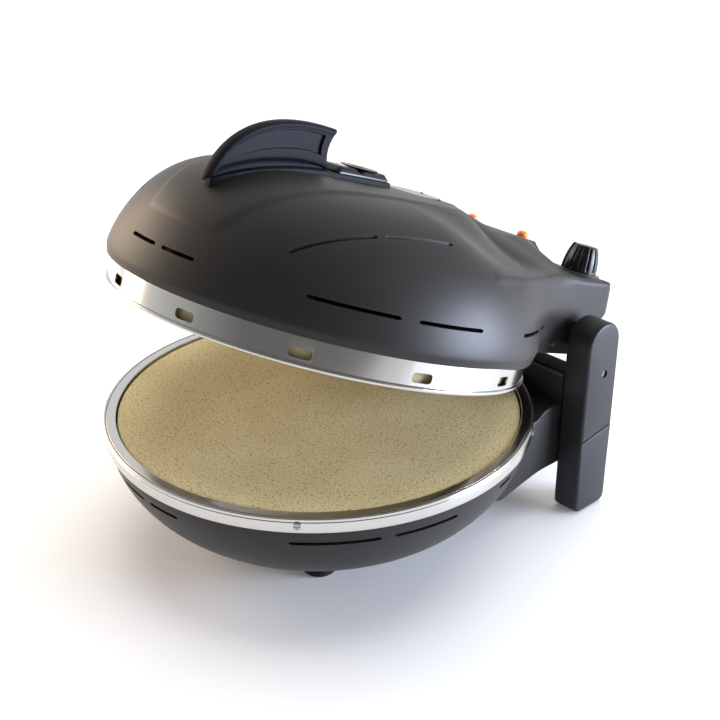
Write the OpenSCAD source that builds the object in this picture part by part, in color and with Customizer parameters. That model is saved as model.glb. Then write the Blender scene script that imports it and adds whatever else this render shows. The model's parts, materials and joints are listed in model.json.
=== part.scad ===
// Electric pizza maker: a fixed stone in a bowl-shaped base, and a domed lid on two rear posts.
// Millimetres, Z up. The origin is on the bowl's axis at table height, the handle is toward -Y
// and the hinge is toward +Y. The lid is drawn lid_angle open; its own sizes are the closed ones.

/* [Overall] */
// Radius of the steel band round the base
base_r = 171; // [169:0.5:173]
// Height of the baking ring's top above the table
base_top = 112.5; // [111:0.5:114]
// Wall thickness of the plastic shells
wall = 3; // [2.6:0.1:3.4]
// How far the lid is drawn open, in degrees
lid_angle = 20.1; // [10:0.1:45]

/* [Base] */
// Height of the bowl's flat underside above the table
bowl_floor = 10; // [9:0.5:12]
// Depth of the bowl's round from the band to its virtual lowest point
bowl_depth = 98.5; // [97:0.5:100]
// Fullness of the bowl's round
bowl_full = 2.3; // [2.1:0.05:2.5]
// Height of the steel band round the base
band_h = 12; // [11:0.5:13]
// Width of the steel rim outside the baking stone
rim_w = 11; // [10:0.5:12]
// Thickness of the baking stone
stone_t = 12; // [10:0.5:14]
// Height of the vent slits in the bowl
bowl_slit = 3; // [2:0.5:4]
// Distance of the bowl's vent slits under the band
bowl_slit_drop = 11.5; // [10:0.5:13]
// Radius of the front feet
foot_r = 14; // [12:0.5:16]
// Distance of each front foot from the middle plane
foot_x = 53; // [50:0.5:55]
// Distance of each front foot in front of the bowl's axis
foot_y = 48; // [44:0.5:52]

/* [Posts and hinge] */
// Thickness of each post, side to side
post_w = 24; // [22:0.5:26]
// Radius of the posts' round top, half their depth
post_r = 19.5; // [18.5:0.5:20.5]
// Distance of the hinge line behind the base's band
hinge_back = 7; // [6:0.5:8]
// Height of the hinge line above the lower edge of the lid's dome
hinge_up = 14.5; // [14:0.5:15.5]
// Radius of the hinge pins
pin_r = 5; // [4.5:0.25:5.5]
// Height of the joint line between post and shoe at the front edge
seam_z = 69; // [60:1:76]
// Distance of the cross wall's top under the hinge line
bridge_drop = 27; // [26.5:0.25:29]
// Depth of the cross wall behind its front edge
bridge_d = 23; // [20:0.5:25]

/* [Lid] */
// How much smaller the lid's dome is than the base's band, in radius
lid_in = 2; // [1:0.25:3]
// Height of the dome's round
dome_h = 86; // [84:0.5:88]
// Clear height between the ring and the lid's flange when closed
closed_gap = 5; // [4:0.5:6]
// Height of the steel band under the lid
skirt_h = 21; // [20:0.5:22]
// How far the lid's steel band stands inside the dome
skirt_in = 6; // [5.5:0.25:6.5]
// Number of windows round the lid's steel band
window_n = 12; // [8:1:14]
// Width of each window
window_w = 16; // [12:0.5:18]
// Half width of the rear housing
house_w = 112; // [110:0.5:113]
// Distance of the housing's rear face behind the hinge line
house_back = 44; // [42:0.5:46]
// Height of the rear deck over the hinge line, lid closed
deck_up = 46; // [44:0.5:48]
// Height of the lamp block over the rear deck
block_up = 16.5; // [14:0.5:18]
// Spacing of the two lamps from the middle plane
lamp_x = 29; // [26:0.5:32]
// Radius of each lamp lens
lamp_r = 4.8; // [4:0.2:5.4]

/* [Handle and knobs] */
// Thickness of the handle fin
fin_w = 11; // [10:0.5:12]
// Depth of the recess in each side of the fin
fin_recess = 2; // [1.5:0.25:2.5]
// Radius of the crown dial's ring
crown_r = 16; // [15:0.5:17]
// Radius of the flush cap behind the crown dial
cap_r = 26; // [24:0.5:27]
// Radius of the thermostat knob at its foot
knob_r = 14; // [13:0.5:15]
// Height of the thermostat knob
knob_h = 23; // [21:0.5:24]
// Distance of the thermostat knob's axis from the housing's side
knob_in = 27; // [25:0.5:30]
// Number of grip grooves round the knob
groove_n = 12; // [8:1:14]

/* [Heaters] */
// Radius of the heating rings as a share of the stone's radius
ring_share = 0.656; // [0.63:0.01:0.68]
// Radius of the heating tubes
tube_r = 3.25; // [3:0.25:3.5]

/* [Fits] */
// Radial running clearance of pins and shafts
run_gap = 0.05; // [0.03:0.01:0.08]
// Clearance between parts that are only placed together
seat = 0.3; // [0.25:0.05:0.35]

/* [Hidden] */

// Curves, radii and heights shared by the parts
stone_r = base_r - rim_w;
lid_r = base_r - lid_in;
skirt_r = lid_r - skirt_in;
low_ring_r = stone_r * ring_share;
up_ring_r = stone_r * ring_share;
hinge_y = base_r + hinge_back;
lk = lid_r / 169;
dome_a = 4.6;
dome_b = 1.45;
dome_steps = 13;
steps = 16;
band_z = base_top - band_h;
bowl_r = base_r - 3;
lip_r = bowl_r - 3.4;
ring_in = stone_r + 1.2;
ring_out = base_r - 2.4;
stone_z = base_top - 1.3 - stone_t;
flange_z = base_top + closed_gap;
shell_z = flange_z + skirt_h;
dome_z = shell_z + 5.5;
crown_z = dome_z + dome_h;
house_z = shell_z - 3;
hinge_z = shell_z + hinge_up;
bridge_top = hinge_z - bridge_drop;
bowl_slit_z = band_z - bowl_slit_drop;
house_y = hinge_y + house_back;
deck_z = hinge_z + deck_up;
lamp_z = deck_z + block_up;
lamp_y = hinge_y + 7;
knob_x = house_w - knob_in;
post_x = house_w + 8;
cheek_x = post_x - 1;
bridge_y = hinge_y - post_r;
knob_y = house_y - 22;
plinth_top = crown_z + 5;
fin_y0 = -lid_r + 28;
fin_y1 = -32 * lk;
fin_k = (fin_y1 - fin_y0) / 109;
cap_y = 70 * lk;
crown_y = 2 * lk;
pan_h = 36;
gland_z = band_z - 38.5;
low_pan_z = band_z - 42.5;
low_ring_z = band_z - 20.5;
eps = 0.01;

function bez(a, b, c, t) = a * pow(1 - t, 2) + 2 * b * t * (1 - t) + c * pow(t, 2);
function dome_r(R, t) = R * pow(cos(t), 2 / dome_a);
function dome_h_at(H, t) = H * pow(sin(t), 2 / dome_b);
function dome_top(r, R, H) = dome_z + H * pow(1 - pow(min(r / R, 1), dome_a), 1 / dome_b);
function bowl_rad(R, z, H) = R * pow(1 - pow((band_z - z) / H, 2), 1 / bowl_full);

// Eased step: 0 below 0, 1 above 1
function ease(t) = let (u = min(1, max(0, t))) u * u * (3 - 2 * u);

// The larger of two heights, with a fillet of about k where they are nearly equal
function over(a, b, k) = let (h = min(1, max(0, 0.5 + 0.5 * (a - b) / k)))
  b * (1 - h) + a * h + k * h * (1 - h);

// Hollow flank: 1 at s = 0, 0 at s = 1
function fall(s, p) = 1 - pow(1 - pow(1 - min(1, max(0, s)), p), 1.2);

// Points of a quarter circle that starts at angle a
function arc_points(cx, cy, r, a) = [for (i = [0:6]) [cx + r * cos(a + 15 * i), cy + r * sin(a + 15 * i)]];

// Height of the hollow shoulder between the flat crown and the crease over the side wall
function shoulder_z(x, y) =
  let (q1 = pow(pow(abs(x / lk) / 66, 2.5) + pow(abs(y / lk - 20) / 80, 2.5), 0.4),
    q2 = norm([x, y]) / (144 * lk),
    s = q1 <= 1 ? 0 : q2 >= 1 ? 1 : (q1 - 1) / max(q1 - q2, 0.001))
  deck_z + 1 + (crown_z - deck_z - 1.5) * fall(s, 1.4);

// Height of the saddle that runs from the crown back to the lamp block
function saddle_z(x, y) =
  let (w = 28 - 10 * ease((y / lk - 80) / 25) + 27 * ease((y - hinge_y + 78) / 52),
    top = crown_z - 0.7 - (crown_z - lamp_z - 0.7) * ease((y - hinge_y + 88) / 54)
      - 1.2 * ease((100 * lk - y) / 26))
  deck_z + (top - deck_z) * fall((abs(x) - w) / 44, 1.5);

// Height of the lamp block; it dips a little toward its rear edge
function block_z(x, y) =
  let (back = ease((y - hinge_y + 20) / 32),
    dx = max(abs(x) - 47 + 7 * back, 0) / (17 + 33 * ease((hinge_y + 12 - y) / 60)),
    dy = y < hinge_y - 28 ? (hinge_y - 28 - y) / 45 : max(y - hinge_y - 12, 0) / 15)
  deck_z + (block_up - 2.6 * back) * fall(norm([dx, dy]), 1.6);

// Height of the lid's rear top over a plan point. In front it clears the dome by 1.2.
function rear_z(x, y) =
  let (d = dome_top(min(norm([x, y]), lid_r - 1), lid_r, dome_h) + 1.2 - 1.6 * ease((y - 30) / 40),
    z = d + min(shoulder_z(x, y) - d, 0) * ease((y + 20) / 80),
    k = max(y < hinge_y - 26 ? saddle_z(x, y) : 0, block_z(x, y)))
  max(deck_z + 0.1, y > 60 * lk ? over(z, k, 3.5) : z);

// Puts a closed-lid part at the drawn opening angle
module on_lid() {
  translate([0, hinge_y, hinge_z])
    rotate([-lid_angle, 0, 0])
      translate([0, -hinge_y, -hinge_z])
        children();
}

// A sector of rays about the Z axis; angles run from the front (-Y) toward +X
module sector(a0, a1, r, z0, z1) {
  n = ceil((a1 - a0) / 15);
  translate([0, 0, z0])
    linear_extrude(z1 - z0)
      polygon(concat([[0, 0]], [for (i = [0:n])
        [sin(a0 + (a1 - a0) * i / n) * r * 1.1, -cos(a0 + (a1 - a0) * i / n) * r * 1.1]]));
}

// A horizontal slit through a round wall between two radii
module slit(a0, a1, z, h, r0, r1) {
  intersection() {
    translate([0, 0, z - h / 2])
      difference() {
        cylinder(r = r1, h = h, $fn = 96);
        translate([0, 0, -1])
          cylinder(r = r0, h = h + 2, $fn = 96);
      }
    sector(a0, a1, r1, z - h, z + h);
  }
}

module both_sides() {
  children();
  mirror([1, 0, 0])
    children();
}

// A rounded plate standing in the Y-Z plane and extruded along X from x0
module along_x(x0, w) {
  translate([x0, 0, 0])
    rotate([90, 0, 90])
      linear_extrude(w)
        children();
}

// Solid of the bowl, shrunk by t for its inside
module bowl_solid(t, z_top) {
  R = bowl_r - t;
  H = bowl_depth - t;
  z_low = bowl_floor + t;
  rotate_extrude($fn = 96)
    polygon(concat(
      [[0, z_top], [0, z_low]],
      [for (i = [0:steps]) let (z = z_low + (z_top - z_low) * (1 - pow(1 - i / steps, 1.6)))
        [bowl_rad(R, z, H), z]]
    ));
}

// Side outline of the rear block that joins the bowl to the posts
module block_side(t) {
  polygon([
    [hinge_y - 138, band_z - 55], [hinge_y - 89 - t, band_z - 68.5 + t],
    [hinge_y - 64 - t, band_z - 62.9 + t], [hinge_y - 40, band_z - 58.9 + t],
    [bridge_y + bridge_d - t, band_z - 59.8 + t], [bridge_y + bridge_d - t, band_z - 1.2 - t],
    [hinge_y - 30, band_z - 1.2 - t], [hinge_y - 40, band_z - 3 - t], [hinge_y - 47, band_z - 8 - t],
    [hinge_y - 138, band_z - 15.5]
  ]);
}

module base_bowl() {
  color([0.1, 0.1, 0.11])
    difference() {
      union() {
        bowl_solid(0, band_z);
        along_x(-cheek_x, 2 * cheek_x)
          block_side(0);
        translate([0, 0, band_z - 4])
          cylinder(r = lip_r, h = 12, $fn = 96);
      }
      bowl_solid(wall, band_z - 3);
      translate([0, 0, band_z - 8])
        cylinder(r = lip_r - 2.2, h = 22, $fn = 96);
      difference() {
        along_x(-cheek_x + wall, 2 * (cheek_x - wall))
          block_side(wall);
        bowl_solid(0, band_z);
      }
      both_sides() {
        slit(1.2, 11.6, bowl_slit_z, bowl_slit, base_r - 30, base_r + 4);
        slit(41.6, 64.1, bowl_slit_z, bowl_slit, base_r - 30, base_r + 4);
        slit(67.4, 85.5, bowl_slit_z, bowl_slit, base_r - 30, base_r + 4);
        slit(101.8, 108, bowl_slit_z + 2, bowl_slit, base_r - 30, base_r + 4);
      }
      translate([0, bridge_y + bridge_d - wall - 2, gland_z])
        rotate([-90, 0, 0])
          cylinder(r = 7 + seat, h = wall + 4, $fn = 32);
    }
}

module rear_bridge() {
  color([0.12, 0.12, 0.13])
    difference() {
      along_x(-post_x + seat, 2 * (post_x - seat))
        polygon([
          [bridge_y, band_z - 0.9], [bridge_y, bridge_top - 3], [bridge_y + 1, bridge_top - 1],
          [bridge_y + 3, bridge_top], [bridge_y + bridge_d - 4, bridge_top],
          [bridge_y + bridge_d - 1.2, bridge_top - 1.2], [bridge_y + bridge_d, bridge_top - 4],
          [bridge_y + bridge_d, band_z - 0.9]
        ]);
      cylinder(r = base_r + 2, h = bridge_top + 10, $fn = 96);
      along_x(-post_x + 5, 2 * (post_x - 5))
        polygon([
          [bridge_y + bridge_d - 9, band_z - 5], [bridge_y + bridge_d - 9, bridge_top - 9],
          [bridge_y + bridge_d - 3, bridge_top - 9], [bridge_y + bridge_d - 3, band_z - 5]
        ]);
    }
}

module base_band() {
  color([0.82, 0.82, 0.83])
    rotate_extrude($fn = 96)
      polygon([
        [bowl_r + 0.3, band_z], [base_r - 0.6, band_z], [base_r, band_z + 0.6],
        [base_r, base_top - 3.4], [base_r - 0.5, base_top - 3], [base_r, base_top - 2.6],
        [base_r, base_top - 0.7], [base_r - 0.5, base_top - 0.1], [base_r - 1.2, base_top],
        [base_r - 2, base_top - 0.7], [base_r - 2, base_top - 2], [bowl_r + 0.3, base_top - 2]
      ]);
}

module base_ring() {
  color([0.78, 0.78, 0.79])
    rotate_extrude($fn = 96)
      polygon([
        [ring_in, base_top - 5], [ring_in + 0.9, base_top - 5], [ring_in + 0.9, base_top - 1.2],
        [lip_r + 0.6, base_top - 1.2], [lip_r + 0.6, band_z + 3], [lip_r + 1.5, band_z + 3],
        [lip_r + 1.5, base_top - 1.2], [ring_out, base_top - 1.2], [ring_out, base_top - 0.3],
        [ring_in + 0.4, base_top - 0.3], [ring_in, base_top - 0.7]
      ]);
}

module baking_stone() {
  color([0.72, 0.68, 0.52])
    translate([0, 0, stone_z])
      rotate_extrude($fn = 96)
        polygon([
          [0, 0], [stone_r - 1, 0], [stone_r, 1], [stone_r, stone_t - 1],
          [stone_r - 1, stone_t], [0, stone_t]
        ]);
}

// Thin pan under the stone: a ledge that carries the stone and a cone down to a flat floor
module lower_reflector() {
  t = 1;
  r0 = stone_r - 42;
  r1 = stone_r - 14;
  color([0.7, 0.7, 0.7])
    rotate_extrude($fn = 96)
      polygon([
        [0, low_pan_z], [r0, low_pan_z], [r1, low_pan_z + 26], [r1 + 4, stone_z - t - seat],
        [lip_r - 2.6, stone_z - t - seat], [lip_r - 2.6, stone_z - seat], [r1 + 3, stone_z - seat],
        [r1 - 1, low_pan_z + 27], [r0 - 0.4, low_pan_z + t], [0, low_pan_z + t]
      ]);
}

// Heating ring with two upright leads at the rear
module heat_ring(r, drop) {
  rotate_extrude($fn = 64)
    translate([r, 0])
      circle(r = tube_r, $fn = 24);
  for (a = [-8, 8])
    rotate([0, 0, a])
      translate([0, r, min(0, drop)])
        cylinder(r = tube_r - 0.6, h = abs(drop), $fn = 24);
}

module lower_heater() {
  color([0.35, 0.34, 0.33])
    translate([0, 0, low_ring_z])
      heat_ring(low_ring_r, low_pan_z + 1.3 - low_ring_z);
}

module lower_clips() {
  color([0.6, 0.6, 0.6])
    for (a = [30, 150, 270])
      rotate([0, 0, a])
        translate([low_ring_r, 0, 0])
          difference() {
            translate([-6, -4, low_pan_z + 1.3])
              cube([12, 8, 26]);
            translate([0, -6, low_ring_z])
              rotate([-90, 0, 0])
                cylinder(r = tube_r + seat, h = 12, $fn = 24);
            translate([-4.5, -6, low_pan_z + 3])
              cube([9, 12, 14]);
          }
}

module front_feet() {
  color([0.03, 0.03, 0.03])
    both_sides()
      translate([foot_x, -foot_y, 0])
        rotate_extrude($fn = 48)
          polygon([
            [0, 0], [foot_r - 1.5, 0], [foot_r, 1.5], [foot_r, bowl_floor - 2.5],
            [foot_r - 2.5, bowl_floor], [0, bowl_floor]
          ]);
}

module post_outline(r) {
  translate([hinge_y, hinge_z])
    circle(r = r, $fn = 48);
  translate([hinge_y - r, 3])
    square([2 * r, hinge_z - 3]);
}

// Seam line of the post in side view, rising to the rear
module seam_side(up) {
  s = tan(8);
  y0 = hinge_y - post_r - 5;
  y1 = hinge_y + post_r + 5;
  z1 = seam_z + s * (y1 - y0);
  if (up)
    polygon([[y0, seam_z + 0.4], [y1, z1 + 0.4], [y1, 300], [y0, 300]]);
  else
    polygon([[y0, 0], [y0, seam_z], [y1, z1], [y1, 0]]);
}

// Post body: full outline in the middle, stepped in by a small chamfer at both faces
module post_solid(up) {
  for (e = [0, 0.5, 1.2])
    along_x(post_x + (e == 0 ? 1.2 : (e == 0.5 ? 0.5 : 0)), post_w - 2 * (e == 0 ? 1.2 : (e == 0.5 ? 0.5 : 0)))
      intersection() {
        post_outline(post_r - e);
        seam_side(up);
      }
}

module post_at_right() {
  color([0.13, 0.13, 0.14])
    difference() {
      post_solid(true);
      translate([post_x - 1, hinge_y, hinge_z])
        rotate([0, 90, 0])
          cylinder(r = pin_r + run_gap, h = post_w - 3, $fn = 32);
      translate([post_x + post_w - 4, hinge_y + 3, hinge_z - 26])
        rotate([0, 90, 0])
          cylinder(r = 3, h = 6, $fn = 32);
    }
}

module post_left() {
  mirror([1, 0, 0])
    post_at_right();
}

module post_right() {
  post_at_right();
}

module shoe_at_right() {
  color([0.12, 0.12, 0.13])
    difference() {
      intersection() {
        post_solid(false);
        translate([0, 0, 0])
          along_x(post_x - 1, post_w + 2)
            hull() {
              translate([hinge_y - post_r + 6, 7])
                circle(r = 6, $fn = 24);
              translate([hinge_y + post_r - 6, 7])
                circle(r = 6, $fn = 24);
              translate([hinge_y - post_r, seam_z + 20])
                square([2 * post_r, 1]);
            }
      }
      translate([post_x + post_w / 2, hinge_y, 0])
        cylinder(r = 8 + seat, h = 4, $fn = 32);
    }
}

module shoe_left() {
  mirror([1, 0, 0])
    shoe_at_right();
}

module shoe_right() {
  shoe_at_right();
}

module rear_pads() {
  color([0.03, 0.03, 0.03])
    both_sides()
      translate([post_x + post_w / 2, hinge_y, 0])
        cylinder(r = 8, h = 4 - seat, $fn = 32);
}

module post_screws() {
  color([0.3, 0.3, 0.3])
    both_sides()
      translate([post_x + post_w - 4 + seat, hinge_y + 3, hinge_z - 26])
        rotate([0, 90, 0])
          difference() {
            cylinder(r = 2.7, h = 2, $fn = 32);
            translate([-0.4, -2.2, 1])
              cube([0.8, 4.4, 2]);
          }
}

module rim_screws() {
  color([0.8, 0.8, 0.8])
    for (a = [44, 123, -44, -123])
      rotate([0, 0, a])
        translate([0, -base_r - 0.1, base_top - 5.6])
          rotate([90, 0, 0])
            difference() {
              cylinder(r = 2.6, h = 1.4, $fn = 32);
              translate([-2, -0.35, 0.8])
                cube([4, 0.7, 1]);
              translate([-0.35, -2, 0.8])
                cube([0.7, 4, 1]);
            }
}

module hinge_pins() {
  color([0.75, 0.75, 0.76])
    both_sides()
      translate([house_w - 14, hinge_y, hinge_z])
        rotate([0, 90, 0]) {
          cylinder(r = pin_r, h = post_w - 4 + 8 + 14 - seat, $fn = 32);
          translate([0, 0, -2.5])
            cylinder(r = pin_r + 2, h = 2.5, $fn = 32);
        }
}

module hinge_bushes() {
  color([0.05, 0.05, 0.05])
    both_sides()
      translate([house_w + seat, hinge_y, hinge_z])
        rotate([0, 90, 0])
          difference() {
            cylinder(r = pin_r + 5, h = post_x - house_w - 2 * seat, $fn = 48);
            translate([0, 0, -1])
              cylinder(r = pin_r + run_gap, h = 12, $fn = 32);
          }
}

module cord_gland() {
  color([0.04, 0.04, 0.04])
    translate([0, bridge_y + bridge_d - wall - 1.5, gland_z])
      rotate([-90, 0, 0])
        difference() {
          union() {
            cylinder(r = 7, h = wall + 3.5, $fn = 32);
            translate([0, 0, wall + 1.5 + seat])
              cylinder(r = 9, h = 3, $fn = 32);
          }
          translate([0, 0, -1])
            cylinder(r = 3.6, h = 14, $fn = 32);
        }
}

// Dome of revolution: a two-exponent superellipse over a short cylinder
module dome(R, H, z_low, r_low) {
  rotate_extrude($fn = 72)
    polygon(concat(
      [[0, z_low], [r_low, z_low]],
      [for (i = [0:dome_steps]) let (t = 90 * (1 - pow(1 - i / dome_steps, 1.25)))
        [dome_r(R, t), dome_z + dome_h_at(H, t)]]
    ));
}

// Raised shield on the dome, seen from above: a curved front and a round rear end
module shield_plan() {
  n = 12;
  right = [for (i = [0:n]) let (s = i / n)
    [bez(24, 72, 66, s) * lk, bez(-lid_r - 4, -118 * lk, 20 * lk, s)]];
  back = [for (i = [1:n]) let (a = 90 * i / n)
    [66 * lk * pow(cos(a), 0.8), (20 + 80 * pow(sin(a), 0.8)) * lk]];
  half = concat(right, back);
  polygon(concat(half, [for (i = [len(half) - 2:-1:0]) [-half[i][0], half[i][1]]]));
}

// All the space over the lid's rear top, lowered by t: what is cut from dome and housing
module above_rear(t) {
  nx = 26;
  ny = 22;
  n = nx + 1;
  xs = [for (i = [-13:13]) sign(i) * (lid_r + 5) * pow(abs(i) / 13, 1.25)];
  ys = [for (j = [0:ny]) hinge_y + 12 + (house_y - 17) * (j - 18) / 18];
  loop = concat(
    [for (i = [0:nx - 1]) i],
    [for (j = [0:ny - 1]) j * n + nx],
    [for (i = [nx:-1:1]) ny * n + i],
    [for (j = [ny:-1:1]) j * n]
  );
  low = [for (y = ys) for (x = xs) [x, y, rear_z(x, y) - t]];
  high = [for (k = loop) [low[k][0], low[k][1], crown_z + 12]];
  m = len(loop);
  top = len(low);
  polyhedron(
    points = concat(low, high),
    faces = concat(
      [for (j = [0:ny - 1]) for (i = [0:nx - 1]) [j * n + i, j * n + i + 1, j * n + n + i + 1]],
      [for (j = [0:ny - 1]) for (i = [0:nx - 1]) [j * n + i, j * n + n + i + 1, j * n + n + i]],
      [for (k = [0:m - 1]) [loop[k], top + k, top + (k + 1) % m, loop[(k + 1) % m]]],
      [[for (k = [m - 1:-1:0]) top + k]]
    )
  );
}

// Room for the saddle and the lamp block before the rear top is cut
module rear_zone(t) {
  half = [
    [20, hinge_y - 102], [60, hinge_y - 68], [88, hinge_y - 45], [88, hinge_y - 28], [65, hinge_y + 2],
    [65, house_y - 15]
  ];
  translate([0, 0, deck_z - 30])
    linear_extrude(crown_z - deck_z + 32)
      polygon(concat(
        [for (p = half) [p[0] - t, p[1] + (p[1] < hinge_y - 40 ? t : -t * 0.5)]],
        [for (i = [5:-1:0]) [t - half[i][0], half[i][1] + (half[i][1] < hinge_y - 40 ? t : -t * 0.5)]]
      ));
}

// Web that fills the corner between the dome and the housing's side, wider toward the deck
module corner_web(t) {
  rows = [
    [shell_z + 8, 130, hinge_y - 70, hinge_y - 32],
    [shell_z + 23.5, 132, hinge_y - 79, hinge_y - 18],
    [deck_z - 9, 136, hinge_y - 114, hinge_y - 26],
    [deck_z - 3.5, 134, hinge_y - 121, hinge_y - 28]
  ];
  both_sides()
    for (i = [0:2])
      hull()
        for (w = [rows[i], rows[i + 1]])
          translate([0, 0, w[0] - t * 0.3])
            linear_extrude(0.5)
              polygon([
                [90, w[2] + t], [w[1] * lk - t, w[2] - t * 0.3], [house_w - 0.2 - t, w[3] - t], [90, w[3] - t]
              ]);
}

// Dome, shield, housing and webs with the rear top cut to its form
module lid_body(t) {
  difference() {
    union() {
      dome(lid_r - t, dome_h - t, t > 0 ? shell_z - 6 : shell_z, t > 0 ? lid_r - t - 1 : lid_r - 1.2);
      if (t == 0)
        intersection() {
          dome(lid_r + 2.2, dome_h + 0.8, shell_z + 20, lid_r);
          translate([0, 0, shell_z + 22])
            linear_extrude(100)
              shield_plan();
        }
      housing(t);
      rear_zone(t);
      corner_web(t);
    }
    above_rear(t);
  }
}

// Rear housing between the posts: side outline, cross section and rounded rear corners together
module housing(t) {
  r = 4;
  intersection() {
    along_x(-house_w + t, 2 * (house_w - t))
      polygon([
        [60, t > 0 ? house_z - 5 : house_z], [60, deck_z - t], [house_y - 11 - t, deck_z - 0.6 - t],
        [house_y - 6.5 - t, deck_z - 2 - t], [house_y - 4 - t, deck_z - 6 - t], [house_y - t, deck_z - 27],
        [hinge_y + 28 - t, hinge_z - 3], [hinge_y + 21.5 - t, house_z + 2.5],
        [hinge_y + 18 - t, t > 0 ? house_z - 5 : house_z]
      ]);
    translate([0, house_y + 40, 0])
      rotate([90, 0, 0])
        linear_extrude(house_y + 40)
          polygon(concat(
            [[-house_w + t, house_z - 8], [house_w - t, house_z - 8]],
            arc_points(house_w - r - t, deck_z - r - t, r, 0),
            arc_points(-house_w + r + t, deck_z - r - t, r, 90)
          ));
    translate([0, 0, house_z - 8])
      linear_extrude(120)
        polygon(concat(
          [[-house_w + t, 50], [house_w - t, 50]],
          arc_points(house_w - r - 2, house_y - r - 2 - t, r + 2 - t, 0),
          arc_points(-house_w + r + 2, house_y - r - 2 - t, r + 2 - t, 90)
        ));
  }
}

// Curved upper slit: a strip between two upright cylinders, cut by rays from the lid's axis
module upper_slit(a0, a1) {
  intersection() {
    translate([-lid_r * 1.168, lid_r * 0.2427, shell_z + 20])
      difference() {
        cylinder(r = lid_r * 1.9467 + 1.4, h = 70, $fn = 128);
        translate([0, 0, -1])
          cylinder(r = lid_r * 1.9467 - 1.4, h = 72, $fn = 128);
      }
    sector(a0, a1, lid_r + 10, shell_z + 20, crown_z - 5);
  }
}

module lid_shell_solid() {
  difference() {
    lid_body(0);
    lid_body(wall);
    both_sides() {
      slit(1.3, 12.5, shell_z + 25.5, 2.6, lid_r - 22, lid_r + 5);
      slit(41, 63.5, shell_z + 25.5, 2.6, lid_r - 22, lid_r + 5);
      slit(68, 87, shell_z + 25.5, 2.6, lid_r - 22, lid_r + 5);
      slit(106, 121.6, shell_z + 22, 2.6, lid_r - 22, lid_r + 5);
      upper_slit(34, 55.5);
      upper_slit(58, 81.5);
      slit(125.5, 133, shell_z + 21.5, 2.6, lid_r - 24, lid_r + 12);
      translate([house_w - wall - 2, hinge_y, hinge_z])
        rotate([0, 90, 0])
          cylinder(r = pin_r + 2.2, h = wall + 4, $fn = 32);
      translate([lamp_x, lamp_y, lamp_z - 8])
        cylinder(r = lamp_r + seat, h = 14, $fn = 32);
    }
    translate([knob_x, knob_y, deck_z - wall - 4])
      cylinder(r = 4.5, h = wall + 10, $fn = 32);
    translate([0, crown_y, crown_z - wall - 4])
      cylinder(r = 5, h = wall + 10, $fn = 32);
    translate([0, cap_y, crown_z - 2.2])
      cylinder(r = cap_r + seat, h = 12, $fn = 64);
  }
}

module lid_shell() {
  color([0.14, 0.14, 0.15])
    on_lid()
      lid_shell_solid();
}

// Steel band under the dome: folded flange, upright wall and a ring of windows
module lid_band() {
  n = window_n;
  color([0.82, 0.82, 0.83])
    on_lid()
      difference() {
        rotate_extrude($fn = 96)
          polygon([
            [skirt_r - 2, flange_z], [skirt_r + 1.4, flange_z], [skirt_r + 2, flange_z + 0.6],
            [skirt_r + 2, flange_z + 1.9], [skirt_r + 1.4, flange_z + 2.5], [skirt_r, flange_z + 2.8],
            [skirt_r, shell_z + 2.4], [skirt_r - 1.2, shell_z + 2.4], [skirt_r - 1.2, flange_z + 1.2],
            [skirt_r - 2, flange_z + 1.2]
          ]);
        for (i = [0:n - 1])
          rotate([0, 0, 13 + 360 * i / n])
            translate([0, -skirt_r + 6, flange_z + 9]) {
              translate([-window_w / 2 + 3, -12, -3.5])
                cube([window_w - 6, 12, 7]);
              for (s = [-1, 1])
                translate([s * (window_w / 2 - 3.5), 0, 0])
                  rotate([90, 0, 0])
                    cylinder(r = 3.5, h = 12, $fn = 24);
            }
      }
}

// Thin pan in the lid: a raised cone and a flat roof over the upper heater
module lid_reflector() {
  t = 1;
  r0 = skirt_r - 45;
  r1 = skirt_r - 13;
  color([0.7, 0.7, 0.7])
    on_lid()
      rotate_extrude($fn = 96)
        polygon([
          [skirt_r - 2.3, flange_z + 0.2], [skirt_r - 2.3, flange_z + 1.2], [r1, flange_z + 16],
          [r0, flange_z + pan_h], [0, flange_z + pan_h], [0, flange_z + pan_h - t],
          [r0 - 0.4, flange_z + pan_h - t], [r1 - 1, flange_z + 15.4], [skirt_r - 3.3, flange_z + 0.2]
        ]);
}

module upper_heater() {
  color([0.35, 0.34, 0.33])
    on_lid()
      translate([0, 0, flange_z + 16])
        heat_ring(up_ring_r, pan_h - 17.3);
}

module upper_clips() {
  color([0.6, 0.6, 0.6])
    on_lid()
      for (a = [30, 150, 270])
        rotate([0, 0, a])
          translate([up_ring_r, 0, flange_z])
            difference() {
              translate([-6, -4, 11])
                cube([12, 8, 23.7]);
              translate([0, -6, 16])
                rotate([-90, 0, 0])
                  cylinder(r = tube_r + seat, h = 12, $fn = 24);
              translate([-4.5, -6, 21])
                cube([9, 12, 12]);
            }
}

// Side outline of the fin: a long front curve, a rounded tip and a hollow tail; e pulls it inward
module fin_side(e) {
  n = 12;
  z0 = crown_z;
  polygon(concat(
    [for (i = [0:n]) let (s = i / n)
      [bez(fin_y0 + 1.2 * e, fin_y0 + 14.5 + e, fin_y1 - 8 - e, s),
        bez(z0 - 18 + 0.6 * e, z0 + 43, z0 + 37 - e, s) - e * s]],
    [[fin_y1 - 2 - 1.5 * e, z0 + 36.2 - 2 * e], [fin_y1 - 0.4 - 1.5 * e, z0 + 34 - 2 * e]],
    [for (i = [1:6]) let (s = i / 6)
      [fin_y1 + bez(-0.6, -6.5, -2, s) - 1.5 * e, bez(z0 + 32, z0 + 19, z0 + 5.6, s)]],
    [for (i = [0:8]) let (s = i / 8)
      [bez(fin_y1 - 13, fin_y0 + 43, fin_y0 + 2, s), bez(z0 + 5.6, z0 + 3.2, z0 - 15.8, s)]]
  ));
}

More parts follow.
